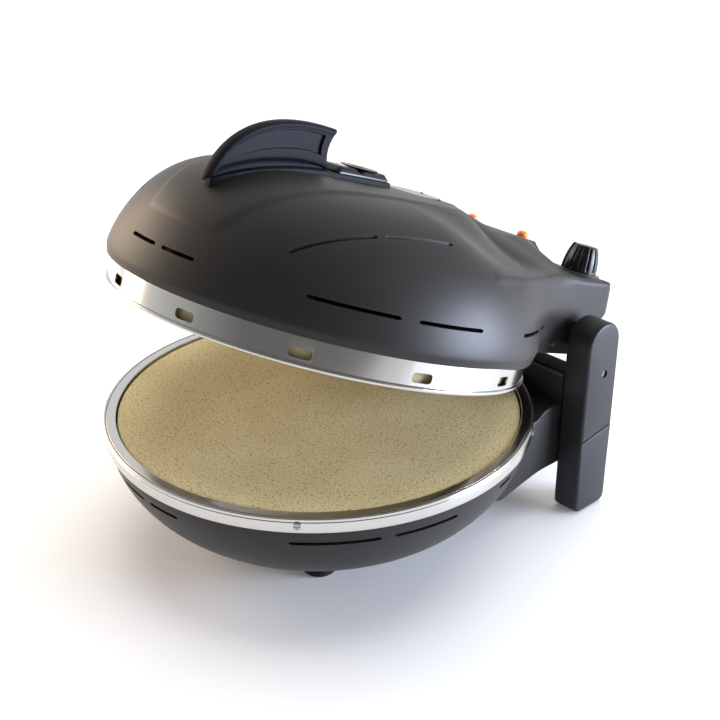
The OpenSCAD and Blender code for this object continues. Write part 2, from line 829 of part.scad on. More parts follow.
// Outline of the recess in the fin's side
module recess_side() {
  n = 10;
  z0 = crown_z;
  polygon(concat(
    [for (i = [0:n]) let (s = i / n)
      [fin_y1 + bez(-84, -60, -11, s) * fin_k, bez(z0 + 11, z0 + 32, z0 + 31.4, s)]],
    [for (i = [0:n]) let (s = i / n)
      [fin_y1 + bez(-12.6, -46, -84, s) * fin_k, bez(z0 + 12, z0 + 22, z0 + 9.5, s)]]
  ));
}

module handle_fin() {
  color([0.09, 0.09, 0.1])
    on_lid()
      difference() {
        union() {
          along_x(-fin_w / 2 + 1, fin_w - 2)
            fin_side(0);
          along_x(-fin_w / 2, fin_w)
            fin_side(1);
        }
        both_sides()
          along_x(fin_w / 2 - fin_recess, fin_w)
            recess_side();
        both_sides()
          along_x(fin_w / 2 - 2.5, fin_w)
            polygon(concat(
              [for (i = [0:8]) let (s = i / 8)
                [fin_y1 + bez(-90, -52, -6, s) * fin_k, bez(crown_z + 1, crown_z + 14, crown_z + 6.4, s)]],
              [[fin_y1 - 6 * fin_k, crown_z - 10], [fin_y1 - 90 * fin_k, crown_z - 30]]
            ));
      }
}

module handle_inlays() {
  color([0.12, 0.13, 0.16])
    on_lid()
      both_sides()
        along_x(fin_w / 2 - fin_recess + 0.02, 0.6)
          offset(delta = -0.4)
            recess_side();
}

// Strip along the crown that carries the fin and the crown dial
module handle_plinth() {
  n = 8;
  color([0.1, 0.1, 0.11])
    on_lid()
      difference() {
        intersection() {
          along_x(-20, 40)
            polygon(concat(
              [for (i = [0:n]) let (s = i / n)
                [bez(fin_y0 + 1, fin_y0 + 41, fin_y1 - 13, s), bez(crown_z - 16.5, crown_z + 2, crown_z + 5, s)]],
              [[38 * lk, crown_z + 5], [38 * lk, crown_z - 30], [fin_y0 + 1, crown_z - 30]]
            ));
          translate([0, 0, crown_z - 40])
            linear_extrude(60)
              polygon([
                [-7, fin_y0], [7, fin_y0], [13, fin_y1], [13, 38 * lk], [-13, 38 * lk], [-13, fin_y1]
              ]);
        }
        lid_shell_env();
        translate([0, crown_y, crown_z - wall - 4])
          cylinder(r = 4 + run_gap, h = wall + 14, $fn = 32);
      }
}

// The dome's outside without its openings, used to seat the strip on it
module lid_shell_env() {
  dome(lid_r + 2.2 + seat, dome_h + 0.8 + seat, shell_z, lid_r);
}

// Plan of the crown's pedestal: a rectangle with rounded corners, drawn in by e
module pedestal_plan(e) {
  square([2 * (12.8 - e) - 8, 2 * (29 - 2 * e)], center = true);
  square([2 * (12.8 - e), 2 * (29 - 2 * e) - 8], center = true);
  for (x = [-1, 1])
    for (y = [-1, 1])
      translate([x * (8.8 - e), y * (25 - 2 * e)])
        circle(r = 4, $fn = 32);
}

// Long pedestal with a round dish, open at both sides, under the crown dial
module crown_ring() {
  color([0.07, 0.07, 0.07])
    on_lid()
      translate([0, crown_y, plinth_top + seat])
        difference() {
          hull() {
            linear_extrude(1)
              pedestal_plan(0);
            translate([0, 0, 4.4])
              linear_extrude(0.6)
                pedestal_plan(2.2);
          }
          translate([0, 0, 2.6])
            cylinder(r = crown_r, h = 8, $fn = 64);
          translate([0, 0, -1])
            cylinder(r = 4 + run_gap, h = 8, $fn = 32);
        }
}

module crown_dial() {
  color([0.06, 0.06, 0.06])
    on_lid()
      translate([0, crown_y, crown_z - 3]) {
        cylinder(r = 4, h = plinth_top - crown_z + 3 + 6.5, $fn = 32);
        translate([0, 0, plinth_top - crown_z + 3 + 3.6])
          cylinder(r = 6, h = 2.4, $fn = 32);
        translate([0, 0, plinth_top - crown_z + 3 + 6])
          difference() {
            cylinder(r = crown_r - 1, h = 2, $fn = 64);
            translate([-0.8, -crown_r + 2, 1.2])
              cube([1.6, 9, 2]);
          }
      }
}

module flush_cap() {
  color([0.5, 0.5, 0.48])
    on_lid()
      translate([0, cap_y, crown_z - 2.2 + seat]) {
        cylinder(r = cap_r, h = 1.4, $fn = 64);
        translate([0, 8, 1])
          cylinder(r = 1.2, h = 1.2, $fn = 24);
      }
}

module lamp_lenses() {
  color([0.95, 0.5, 0.15])
    on_lid()
      both_sides()
        translate([lamp_x, lamp_y, lamp_z - 6]) {
          translate([0, 0, -1])
            cylinder(r = lamp_r, h = 8, $fn = 32);
          translate([0, 0, 7])
            rotate_extrude($fn = 32)
              polygon(concat([[0, 0]], [for (i = [0:6]) [cos(i * 15) * lamp_r, sin(i * 15) * 3]]));
          translate([0, 0, -3.8])
            cylinder(r = lamp_r + 1.2, h = 3, $fn = 32);
        }
}

module dial_plate() {
  color([0.16, 0.16, 0.16])
    on_lid()
      translate([knob_x, knob_y, deck_z + 0.1])
        difference() {
          cylinder(r = knob_r + 3.5, h = 0.8, $fn = 64);
          translate([0, 0, -1])
            cylinder(r = 4.5, h = 4, $fn = 32);
        }
}

// Tapered knob with grooves round its side and a raised pointer blade
module knob() {
  color([0.04, 0.04, 0.05])
    on_lid()
      translate([knob_x, knob_y, deck_z + 1.2])
        rotate([0, 0, -20])
          difference() {
            union() {
              rotate_extrude($fn = 64)
                polygon([
                  [0, 0], [knob_r, 0], [knob_r, 1.5], [knob_r - 1, knob_h * 0.45],
                  [knob_r - 4.2, knob_h - 1.2], [knob_r - 5, knob_h - 0.4], [0, knob_h - 0.4]
                ]);
              along_x(-1.6, 3.2)
                polygon([
                  [-knob_r - 1.5, 0], [-knob_r - 1.5, 2], [-knob_r * 0.55, knob_h + 2.2],
                  [-knob_r * 0.35, knob_h + 2.2], [-knob_r * 0.2, knob_h - 1], [0, 1]
                ]);
            }
            for (i = [1:groove_n - 1])
              rotate([0, 0, 360 * i / groove_n])
                translate([0, -knob_r - 0.2, 3])
                  rotate([-10, 0, 0])
                    cylinder(r = 1, h = knob_h, $fn = 16);
            translate([0, 0, -1])
              cylinder(r = 3 + seat, h = 12, $fn = 32);
          }
}

module knob_shaft() {
  color([0.7, 0.7, 0.7])
    on_lid()
      translate([knob_x, knob_y, deck_z - 14])
        cylinder(r = 3, h = 26, $fn = 32);
}

module thermostat() {
  color([0.5, 0.5, 0.5])
    on_lid()
      translate([knob_x, knob_y, deck_z - 24]) {
        difference() {
          translate([-15, -14, 0])
            cube([30, 24, 14]);
          translate([0, 0, 8])
            cylinder(r = 3 + run_gap, h = 10, $fn = 32);
        }
        for (s = [-1, 1])
          translate([s * 10 - 2.5, -8, -7.5])
            cube([5, 0.8, 8]);
      }
}

module hinge_brackets() {
  color([0.65, 0.65, 0.66])
    on_lid()
      both_sides()
        translate([house_w - wall - 5.3, 0, 0])
          difference() {
            along_x(0, 5)
              hull() {
                translate([hinge_y, hinge_z])
                  circle(r = pin_r + 6, $fn = 32);
                translate([hinge_y - 34, house_z + 6])
                  square([8, 24]);
                translate([hinge_y + 13, house_z + 16])
                  square([6, 26]);
              }
            translate([-1, hinge_y, hinge_z])
              rotate([0, 90, 0])
                cylinder(r = pin_r + run_gap, h = 8, $fn = 32);
          }
}

// Floor plate that closes the housing behind the steel band
module housing_cover() {
  t = 2;
  color([0.1, 0.1, 0.11])
    on_lid()
      difference() {
        translate([0, 0, house_z + 0.3])
          linear_extrude(t)
            difference() {
              translate([-house_w + wall + seat, hinge_y - 118])
                square([2 * (house_w - wall - seat), 132]);
              circle(r = skirt_r + 0.4, $fn = 96);
            }
        for (s = [-60, 60])
          translate([s, hinge_y + 9, house_z - 2])
            cylinder(r = 2.2, h = 8, $fn = 24);
      }
}

module lid_screws() {
  color([0.8, 0.8, 0.8])
    on_lid()
      both_sides()
        translate([house_w + 0.1, hinge_y - 26, hinge_z - 10])
          rotate([0, 90, 0])
            difference() {
              cylinder(r = 2.4, h = 1.3, $fn = 32);
              translate([-1.9, -0.35, 0.8])
                cube([3.8, 0.7, 1]);
            }
}

base_bowl();
rear_bridge();
base_band();
base_ring();
baking_stone();
lower_reflector();
lower_heater();
lower_clips();
front_feet();
post_left();
post_right();
shoe_left();
shoe_right();
rear_pads();
post_screws();
rim_screws();
hinge_pins();
hinge_bushes();
cord_gland();
lid_shell();
lid_band();
lid_reflector();
upper_heater();
upper_clips();
handle_fin();
handle_inlays();
handle_plinth();
crown_ring();
crown_dial();
flush_cap();
lamp_lenses();
dial_plate();
knob();
knob_shaft();
thermostat();
hinge_brackets();
housing_cover();
lid_screws();
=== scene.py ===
# %% [markdown]
# # An electric pizza maker, piece by piece
# A round stone lies in a bowl-shaped base, and a domed lid turns between two rear posts.
# The CAD model gives every part its place and size. Here each surface that shows is made again
# as a smooth numpy grid, and each finish gets its own small node tree. Hidden parts keep their
# CAD meshes.

# %% Load the frame
import json
import math
import bmesh
import bpy
import numpy as np
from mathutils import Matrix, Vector


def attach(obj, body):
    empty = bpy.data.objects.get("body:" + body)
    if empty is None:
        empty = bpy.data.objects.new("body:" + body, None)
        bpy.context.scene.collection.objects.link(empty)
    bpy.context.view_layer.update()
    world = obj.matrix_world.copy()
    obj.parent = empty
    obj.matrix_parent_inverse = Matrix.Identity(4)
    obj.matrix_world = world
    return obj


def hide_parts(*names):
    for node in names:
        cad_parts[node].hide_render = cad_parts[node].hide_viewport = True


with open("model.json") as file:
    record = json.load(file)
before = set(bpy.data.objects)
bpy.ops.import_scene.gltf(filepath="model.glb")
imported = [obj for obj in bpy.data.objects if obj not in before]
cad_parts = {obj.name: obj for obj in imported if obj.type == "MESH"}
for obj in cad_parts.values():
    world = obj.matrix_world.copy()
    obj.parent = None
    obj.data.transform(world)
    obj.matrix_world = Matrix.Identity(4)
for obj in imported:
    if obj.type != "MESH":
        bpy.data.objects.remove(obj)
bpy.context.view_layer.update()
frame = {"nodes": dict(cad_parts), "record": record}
nodes = frame["nodes"]
MM = 0.001

# %% [markdown]
# ## Camera
# A long lens keeps the near and far sides of the cooker in proportion. It could be aimed by eye
# or by a Track To constraint. Fixed numbers are used, because the two steel rims are true circles
# and their ellipses fix the view: from the right of the handle, 26 degrees down.

# %% Camera
LOOK_DOWN, LOOK_ROUND = 26.41, 47.42
camera = bpy.data.objects.new("camera", bpy.data.cameras.new("camera"))
bpy.context.scene.collection.objects.link(camera)
camera.location = (0.65225, -0.55515, 0.57304)
camera.rotation_euler = (math.radians(90 - LOOK_DOWN), 0, math.radians(LOOK_ROUND))
camera.data.sensor_width = 36
camera.data.lens = 60.49
bpy.context.scene.camera = camera
print("the camera stands", round(camera.location.length, 2), "m from the origin")

# %% [markdown]
# ## Colours and nodes
# Each finish is a Principled shader with a few nodes in front of it. The trees could be wired by
# hand in the shader editor. Small helpers do it here, so that a finish reads as a short list: one
# turns a screen colour into linear light, and one adds a node with its settings and links.

# %% Colour and node helpers
def colour(code):
    """sRGB hex text to linear red, green, blue and alpha: ((c + 0.055) / 1.055) ^ 2.4."""
    c = np.array([int(code[i:i + 2], 16) for i in (1, 3, 5)]) / 255
    return (*np.where(c <= 0.04045, c / 12.92, ((c + 0.055) / 1.055) ** 2.4), 1.0)


def add(tree, kind, inputs=None, **settings):
    """Adds one node, sets its fields, and fills or links its inputs."""
    node = tree.nodes.new("ShaderNode" + kind)
    for key, value in settings.items():
        setattr(node, key, value)
    for key, value in (inputs or {}).items():
        if isinstance(value, bpy.types.NodeSocket):
            tree.links.new(value, node.inputs[key])
        else:
            node.inputs[key].default_value = value
    return node


def new_finish(name):
    """An empty material with its shader, its tree and its Object coordinates, in metres."""
    material = bpy.data.materials.new(name)
    material.use_nodes = True
    tree = material.node_tree
    shader = tree.nodes["Principled BSDF"]
    where = add(tree, "TexCoord").outputs["Object"]
    return material, tree, shader, where


print("mid grey in linear light:", round(float(colour("#808080")[0]), 3))

# %% [markdown]
# ## Moulded plastics
# The lid, the base, the posts and the knobs are injection-moulded in spark-eroded moulds, whose
# fine grain spreads the shine. An image could carry that grain, but each piece would need a UV
# map for it. Noise in Object coordinates needs none, and it never repeats.

# %% Moulded plastics
PLASTIC_IOR = 1.5
DRIFT_PER_M = 9.0


def moulded(name, code, code_worn, roughness, grain_mm=0.7, grain=0.12, sheen=0.34):
    """A colour that drifts faintly over about 100 mm, and a grain that is really about 0.1 mm and
    is drawn coarser so that it shows. Sheen scales what the surface mirrors."""
    material, tree, shader, where = new_finish(name)
    drift = add(tree, "TexNoise", {"Vector": where, "Scale": DRIFT_PER_M, "Detail": 3.0})
    tint = add(tree, "MixRGB", {"Fac": drift.outputs["Fac"],
                                "Color1": colour(code), "Color2": colour(code_worn)})
    tree.links.new(tint.outputs["Color"], shader.inputs["Base Color"])
    fine = add(tree, "TexNoise", {"Vector": where, "Scale": 1000 / grain_mm / 2, "Detail": 2.0})
    bump = add(tree, "Bump", {"Height": fine.outputs["Fac"], "Strength": grain, "Distance": 0.0001})
    tree.links.new(bump.outputs["Normal"], shader.inputs["Normal"])
    gloss = add(tree, "MapRange", {"Value": drift.outputs["Fac"],
                                   "To Min": roughness - 0.04, "To Max": roughness + 0.05})
    tree.links.new(gloss.outputs["Result"], shader.inputs["Roughness"])
    shader.inputs["IOR"].default_value = PLASTIC_IOR
    shader.inputs["Specular IOR Level"].default_value = sheen
    return material


# Satin ABS: almost black and a little warm, with a wide soft light on each rounded form.
lid_plastic = moulded("satin_abs_lid", "#201d1c", "#252220", 0.45)
base_plastic = moulded("satin_abs_base", "#1d1c1c", "#222121", 0.42)
post_plastic = moulded("satin_abs_posts", "#1d1d1f", "#222224", 0.45)
# Nylon for the handle: a cooler black that hardly mirrors.
handle_plastic = moulded("satin_nylon_handle", "#14151a", "#181920", 0.5, sheen=0.1)
# Polished phenolic for the knobs: the deepest black, with small sharp lights.
black_plastic = moulded("polished_phenolic_knob", "#0b0b0d", "#0f0f11", 0.3, 0.9, 0.05)
# A grey insert, a printed plate, rubber with a rough skin, and nylon in the bearings.
grey_plastic = moulded("grey_abs_cap", "#8d8c88", "#979692", 0.4)
plate_print = moulded("printed_dial_plate", "#4e4c48", "#575550", 0.42)
rubber = moulded("moulded_rubber", "#111111", "#161616", 0.7, 0.9, 0.2)
bush_nylon = moulded("bearing_nylon", "#141414", "#191919", 0.5)
# Mica is a split mineral sheet. It is pale straw, with a soft shine and shallow flakes.
mica = moulded("mica_sheet", "#cdbf95", "#b5a57a", 0.4, 1.2, 0.1)
print("the lid's plastic has", len(lid_plastic.node_tree.nodes), "nodes")

# %% [markdown]
# ## Sheet metal
# The rims are polished stainless strip, bent and spun, and fine lines run round them. A tangent
# map would give such lines an anisotropic shine. Here the noise simply has the same value all
# round a circle, which costs one node more and follows every round piece.

# %% Sheet metal
def rolled_steel(name, code, roughness, line_mm=0.5, depth=0.1):
    """Spun or rolled metal: noise that changes only with Z and with the distance from the axis,
    so its lines run round the piece. Real lines are about 0.05 mm and are drawn coarser."""
    material, tree, shader, where = new_finish(name)
    shader.inputs["Metallic"].default_value = 1.0
    shader.inputs["Base Color"].default_value = colour(code)
    parts = add(tree, "SeparateXYZ", {"Vector": where})
    level = add(tree, "VectorMath", {0: where, 1: (1, 1, 0)}, operation="MULTIPLY")
    radius = add(tree, "VectorMath", {0: level.outputs["Vector"]}, operation="LENGTH")
    line = add(tree, "CombineXYZ", {"X": radius.outputs["Value"], "Z": parts.outputs["Z"]})
    fine = add(tree, "TexNoise", {"Vector": line.outputs["Vector"],
                                  "Scale": 1000 / line_mm / 2, "Detail": 3.0})
    cloud = add(tree, "TexNoise", {"Vector": where, "Scale": 14.0, "Detail": 2.0})
    rough = add(tree, "MapRange", {"Value": cloud.outputs["Fac"],
                                   "To Min": roughness - 0.03, "To Max": roughness + 0.05})
    tree.links.new(rough.outputs["Result"], shader.inputs["Roughness"])
    bump = add(tree, "Bump", {"Height": fine.outputs["Fac"], "Strength": depth, "Distance": 0.00005})
    tree.links.new(bump.outputs["Normal"], shader.inputs["Normal"])
    return material


# Polished stainless: a clear mirror with slightly warm grey in it.
rim_steel = rolled_steel("polished_stainless_rim", "#c6c4c1", 0.16)
# Spun aluminium, zinc on steel, and a heater sheath that has turned dark brown with heat.
pan_aluminium = rolled_steel("spun_aluminium_pan", "#c9c9c9", 0.3, 0.8, 0.2)
zinc_steel = rolled_steel("zinc_plated_steel", "#a5a6a8", 0.35, 0.7, 0.1)
heater_steel = rolled_steel("heat_darkened_steel", "#4c4844", 0.5, 0.6, 0.1)
print("rim steel has", len(rim_steel.node_tree.nodes), "nodes")

# %% [markdown]
# ## Fired stone
# The stone is cordierite grit, pressed and fired: sandy, speckled and dry. A picture of stone
# would show its repeats on such a big plain disc. Three noises of different grain never do: slow
# clouds, sand, and sparse dark specks.

# %% Fired stone
CLOUD_PER_M, SAND_PER_M, SPECK_PER_M = 16.0, 620.0, 260.0


def refractory_stone():
    """A cloudy sandy body, sand grains of about 0.8 mm in two tones over it, specks about 4 mm
    apart on top, and the sand's own relief with almost no gloss."""
    material, tree, shader, where = new_finish("fired_cordierite_stone")
    cloud = add(tree, "TexNoise", {"Vector": where, "Scale": CLOUD_PER_M, "Detail": 4.0})
    body = add(tree, "ValToRGB", {"Fac": cloud.outputs["Fac"]})
    sand = add(tree, "TexNoise", {"Vector": where, "Scale": SAND_PER_M, "Detail": 2.0})
    grains = add(tree, "ValToRGB", {"Fac": sand.outputs["Fac"]})
    for ramp, low, high in ((body, (0.3, "#d2bf86"), (0.7, "#eadba8")),
                            (grains, (0.38, "#a3925f"), (0.62, "#f6eecb"))):
        for stop, (place, code) in zip(ramp.color_ramp.elements, (low, high)):
            stop.position = place
            stop.color = colour(code)
    mixed = add(tree, "MixRGB", {"Fac": 0.35, "Color1": body.outputs["Color"],
                                 "Color2": grains.outputs["Color"]})
    dots = add(tree, "TexVoronoi", {"Vector": where, "Scale": SPECK_PER_M})
    dark = add(tree, "MapRange", {"Value": dots.outputs["Distance"], "From Min": 0.13,
                                  "From Max": 0.25, "To Min": 0.6, "To Max": 0.0})
    speck = add(tree, "MixRGB", {"Fac": dark.outputs["Result"], "Color1": mixed.outputs["Color"],
                                 "Color2": colour("#5f5539")})
    tree.links.new(speck.outputs["Color"], shader.inputs["Base Color"])
    bump = add(tree, "Bump", {"Height": sand.outputs["Fac"], "Strength": 0.25, "Distance": 0.0003})
    tree.links.new(bump.outputs["Normal"], shader.inputs["Normal"])
    shader.inputs["Roughness"].default_value = 0.85
    return material


stone_finish = refractory_stone()
print("sand grain in mm:", round(1000 / SAND_PER_M / 2, 2))

# %% [markdown]
# ## Amber lamp lenses
# Two small lenses are moulded in clear amber polycarbonate. Real transmission would need something
# lit behind them. Light that scatters just under the skin gives the same warm glow and is quicker.

# %% Amber lenses
def amber_lens():
    """Moulded amber, glossy, with a ripple of about 2 mm inside and light let 4 mm into it."""
    material, tree, shader, where = new_finish("amber_polycarbonate")
    ripple = add(tree, "TexNoise", {"Vector": where, "Scale": 300.0, "Detail": 1.0})
    tint = add(tree, "MixRGB", {"Fac": ripple.outputs["Fac"],
                                "Color1": colour("#e86f1d"), "Color2": colour("#f79a4a")})
    tree.links.new(tint.outputs["Color"], shader.inputs["Base Color"])
    bump = add(tree, "Bump", {"Height": ripple.outputs["Fac"], "Strength": 0.1, "Distance": 0.0002})
    tree.links.new(bump.outputs["Normal"], shader.inputs["Normal"])
    shader.inputs["Roughness"].default_value = 0.18
    shader.inputs["Subsurface Weight"].default_value = 0.3
    shader.inputs["Subsurface Radius"].default_value = (0.004, 0.002, 0.001)
    shader.inputs["IOR"].default_value = 1.58
    return material


amber = amber_lens()
print("lens finish:", amber.name)

# %% [markdown]
# ## A finish for every slot
# Every CAD part names a slot, such as steel_trim. Finishes could be given to parts one by one. One
# table from slot to finish does it for all parts, and the pieces made below use the same table.

# %% Finishes on the CAD parts
slot_finish = {
    "plastic_base": base_plastic, "plastic_post": post_plastic, "steel_trim": rim_steel,
    "stone": stone_finish, "pan_metal": pan_aluminium, "heater_tube": heater_steel,
    "clip_steel": zinc_steel, "rubber": rubber, "screw_steel": zinc_steel, "pin_steel": zinc_steel,
    "bush_plastic": bush_nylon, "plastic_lid": lid_plastic, "plastic_handle": handle_plastic,
    "plastic_black": black_plastic, "cap_grey": grey_plastic, "dial_print": plate_print,
    "lamp_amber": amber,
}
slot_of = {s["node"]: s["material_slot"] for s in frame["record"]["subparts"]}
for name, node in nodes.items():
    node.data.materials.clear()
    node.data.materials.append(slot_finish[slot_of[name]])
print("finished", len(nodes), "CAD nodes")

# %% [markdown]
# ## Grids of points
# Almost every piece is a grid of points with two parameters, such as height and direction. Faces
# could be drawn in edit mode. One formula that joins neighbours does it at once, and it serves a
# dome as well as a screw hole.

# %% Faces of a grid
def grid_faces(rows, cols, start=0):
    """Quads between neighbouring rows and columns. The last column meets the first."""
    i = np.arange(rows - 1)[:, None] * cols
    j = np.arange(cols)[None, :]
    k = (j + 1) % cols
    quads = np.stack([i + j, i + k, i + cols + k, i + cols + j], -1).reshape(-1, 4)
    return (quads + start).tolist()


def tube_faces(rows, cols, start=0):
    """The same quads, with one flat face over each open end."""
    first = [start + k for k in range(cols)]
    last = [start + (rows - 1) * cols + k for k in range(cols)]
    return grid_faces(rows, cols, start) + [first[::-1], last]


print("a box is a tube of 2 rows and 4 columns:", len(tube_faces(2, 4)), "faces")

# %% [markdown]
# ## The lid's hinge
# The lid stands open, but it is drawn closed, where its rims lie level and its sections are easy
# to state. Turning the finished object would open it too, but a finished piece's object has to
# stay at the origin, so the points themselves are turned about the hinge line.

# %% Hinge
HINGE = np.array([0.0, 178.0, 153.0])
LID_ANGLE = math.radians(20.1)


def open_lid(points):
    """Turns closed-lid points about the hinge line by the angle a at which the lid stands:
    y' = y cos a + z sin a and z' = z cos a - y sin a, measured from the hinge."""
    p = np.asarray(points, float) - HINGE
    c, s = math.cos(LID_ANGLE), math.sin(LID_ANGLE)
    turned = np.stack([p[..., 0], p[..., 1] * c + p[..., 2] * s, p[..., 2] * c - p[..., 1] * s], -1)
    return turned + HINGE


print("front of the lid's rim when open, in mm:", open_lid([0, -169, 138.5]).round(1))

# %% [markdown]
# ## From points to a piece
# A piece is a mesh with one finish that rides on a body: base, lid, knob or dial. The add-object
# operators need a selected, active object. Data calls need neither, and they keep every piece's
# object at the origin.

# %% Pieces
def tidy_mesh(mesh):
    """Merges doubled points at seams and poles, and turns every face outwards."""
    bm = bmesh.new()
    bm.from_mesh(mesh)
    bmesh.ops.remove_doubles(bm, verts=bm.verts, dist=2e-6)
    bmesh.ops.dissolve_degenerate(bm, edges=bm.edges, dist=1e-6)
    bmesh.ops.recalc_face_normals(bm, faces=bm.faces)
    bm.to_mesh(mesh)
    bm.free()


def make_piece(name, points, faces, body, slot, lid=False, crease=32, finish=None):
    """Puts points in millimetres and faces into a mesh, gives it its slot's finish, and lets it
    ride on its body. Edges sharper than `crease` degrees stay sharp."""
    points = np.asarray(points, float).reshape(-1, 3)
    points = (open_lid(points) if lid else points) * MM
    mesh = bpy.data.meshes.new(name)
    mesh.from_pydata(points.tolist(), [], faces)
    tidy_mesh(mesh)
    mesh.shade_smooth()
    mesh.set_sharp_from_angle(angle=math.radians(crease))
    piece = bpy.data.objects.new(name, mesh)
    bpy.context.scene.collection.objects.link(piece)
    mesh.materials.append(finish or slot_finish[slot])
    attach(piece, body)
    print(name, "has", len(mesh.polygons), "faces")
    return piece


# %% [markdown]
# ## Lid shell: the dome
# The lid is one thin moulding, a dome that runs back into a square housing. It could be sculpted
# or joined from primitives, and then each crease would need cleaning. Formulas for height and
# radius are used instead: they blend smoothly, and a changed size carries the whole form along.

# %% Dome
R_LID, H_DOME = 169.0, 86.0
Z_DOME, Z_RIM, Z_DECK = 144.0, 138.5, 199.0
Z_CROWN = Z_DOME + H_DOME
FLAT_POWER, TALL_POWER = 4.6, 1.45
FOOT_DRAW = 1.2


def smooth_max(a, b, k):
    """The larger of two values, with a fillet of about k where they are nearly equal."""
    h = np.clip(0.5 + 0.5 * (a - b) / k, 0, 1)
    return b * (1 - h) + a * h + k * h * (1 - h)


def smooth_step(t):
    """0 below 0, 1 above 1, and 3 t^2 - 2 t^3 between."""
    t = np.clip(t, 0, 1)
    return t * t * (3 - 2 * t)


def dome_height(r):
    """Height of the dome at radius r, a superellipse: z = foot + H (1 - (r/R)^4.6)^(1/1.45)."""
    u = np.clip(r / R_LID, 0, 1)
    return Z_DOME + H_DOME * (1 - u ** FLAT_POWER) ** (1 / TALL_POWER)


def dome_radius(z):
    """The same superellipse solved for the radius. Under its foot a short wall draws in."""
    w = np.clip((z - Z_DOME) / H_DOME, 0, 1)
    wall = R_LID - FOOT_DRAW * (Z_DOME - z) / (Z_DOME - Z_RIM)
    return np.where(z < Z_DOME, wall, R_LID * (1 - w ** TALL_POWER) ** (1 / FLAT_POWER))


print("dome height at half its radius:", round(float(dome_height(R_LID / 2)), 1))

# %% [markdown]
# ## Lid shell: the housing
# Behind the dome the moulding turns into a box with rounded corners and a sloped rear wall, and a
# web fills each corner between them. A boolean union of box and dome would leave a hard seam. The
# larger of the two radii is taken instead, with a fillet that grows toward the deck.

# %% Housing
HALF_HOUSE, EDGE_R, BOX_POWER = 112.0, 4, 40
FILLET_FRONT, FILLET_LOW, FILLET_DECK = 10, 4, 40
rear_line = np.array([[135.5, 196], [138, 199.5], [150, 206], [172, 222], [193, 218], [197, 215],
                      [199.01, 209]])


def round_off(d, radius):
    """How far a surface drops at distance d inside an edge that has this radius, and how fast it
    falls away outside the edge."""
    u = np.clip(1 - d / radius, 0, 1)
    return radius * (1 - np.sqrt(1 - u * u)) + np.maximum(-d, 0) * 6


def lid_side(a, z):
    """Radius of the lid at azimuth a and height z: the dome, or the housing's rounded rectangle
    (|sin a| / half width) ^ 40 + (-cos a / rear) ^ 40 = r ^ -40, whichever is larger. The rear
    wall's distance at each height is read from rear_line. The fillet starts beside the housing,
    past 88 degrees, and grows from z = 140 up to the deck."""
    half = HALF_HOUSE - round_off(Z_DECK - z, EDGE_R)
    rear = np.interp(z, rear_line[:, 0], rear_line[:, 1])
    across, back = np.abs(np.sin(a)) / half, np.maximum(-np.cos(a), 1e-4) / rear
    box = (across ** BOX_POWER + back ** BOX_POWER) ** (-1 / BOX_POWER)
    turn = np.degrees(np.arctan2(np.abs(np.sin(a)), np.cos(a)))
    web = FILLET_LOW + FILLET_DECK * smooth_step((z - 140) / 34)
    fillet = FILLET_FRONT + web * smooth_step((turn - 88) / 30)
    return smooth_max(dome_radius(z), np.where(turn > 90, box, 0), fillet)


print("housing corner in mm:", round(float(lid_side(math.radians(152), 190.0)), 1))

# %% [markdown]
# ## Lid shell: shield and flanks
# A raised shield lies on the crown, and the flanks behind it are hollowed like a saddle. A lattice
# or proportional editing could press them in. Here the share of the way between two outlines, the
# shield's oval and a circle, drives one falling curve.

# %% Shield and flanks
SHIELD_HALF, SHIELD_MID, SHIELD_BACK, SHIELD_RISE = 66, 20, 80, 1.6
FLANK_END, FLANK_RISE = 144, 29.5


def bez(a, b, c, t):
    """Quadratic curve: a (1-t)^2 + 2 b t (1-t) + c t^2."""
    return a * (1 - t) ** 2 + 2 * b * t * (1 - t) + c * t ** 2


t = np.linspace(0, 1, 40)
quarter = np.pi / 2 * t[1:]
shield_x = np.concatenate([bez(24, 72, SHIELD_HALF, t), SHIELD_HALF * np.cos(quarter) ** 0.8])
shield_y = np.concatenate([bez(-173, -118, SHIELD_MID, t),
                           SHIELD_MID + SHIELD_BACK * np.sin(quarter) ** 0.8])


def fall(s, power):
    """A hollow flank that runs from 1 at s = 0 to 0 at s = 1: 1 - (1 - (1-s)^p)^1.2."""
    return 1 - (1 - (1 - np.clip(s, 0, 1)) ** power) ** 1.2


def flank_share(x, y):
    """0 inside the shield's oval, 1 outside the circle of radius FLANK_END, and between them
    (q1 - 1) / (q1 - q2), where q1 and q2 are 1 on the oval and on the circle."""
    q1 = ((np.abs(x) / SHIELD_HALF) ** 2.5 + (np.abs(y - SHIELD_MID) / SHIELD_BACK) ** 2.5) ** 0.4
    q2 = np.hypot(x, y) / FLANK_END
    between = (q1 - 1) / np.maximum(q1 - q2, 1e-6)
    return np.where(q1 <= 1, 0, np.where(q2 >= 1, 1, between))


print("the shield is", 2 * SHIELD_HALF, "mm wide and", round(float(np.ptp(shield_y))), "mm long")

# %% [markdown]
# ## Lid shell: spine, lamp block and deck
# The crown runs on as a spine over a flat deck and ends in a block that carries two lamps. They
# could be boxes with bevels, joined to the deck. They are bumps added to the deck's height
# instead, so that the deck's rounded edge stays whole under them.

# %% Spine, block and deck
SPINE_END, BLOCK_HALF, BLOCK_RISE = 152, 47, 16.5


def soft_fall(height, s, power):
    """A flank times a height, with its foot blended into the level ground past s = 1."""
    return smooth_max(height * (fall(s, power) - 0.6 * np.maximum(s - 1, 0)), 0, 5)


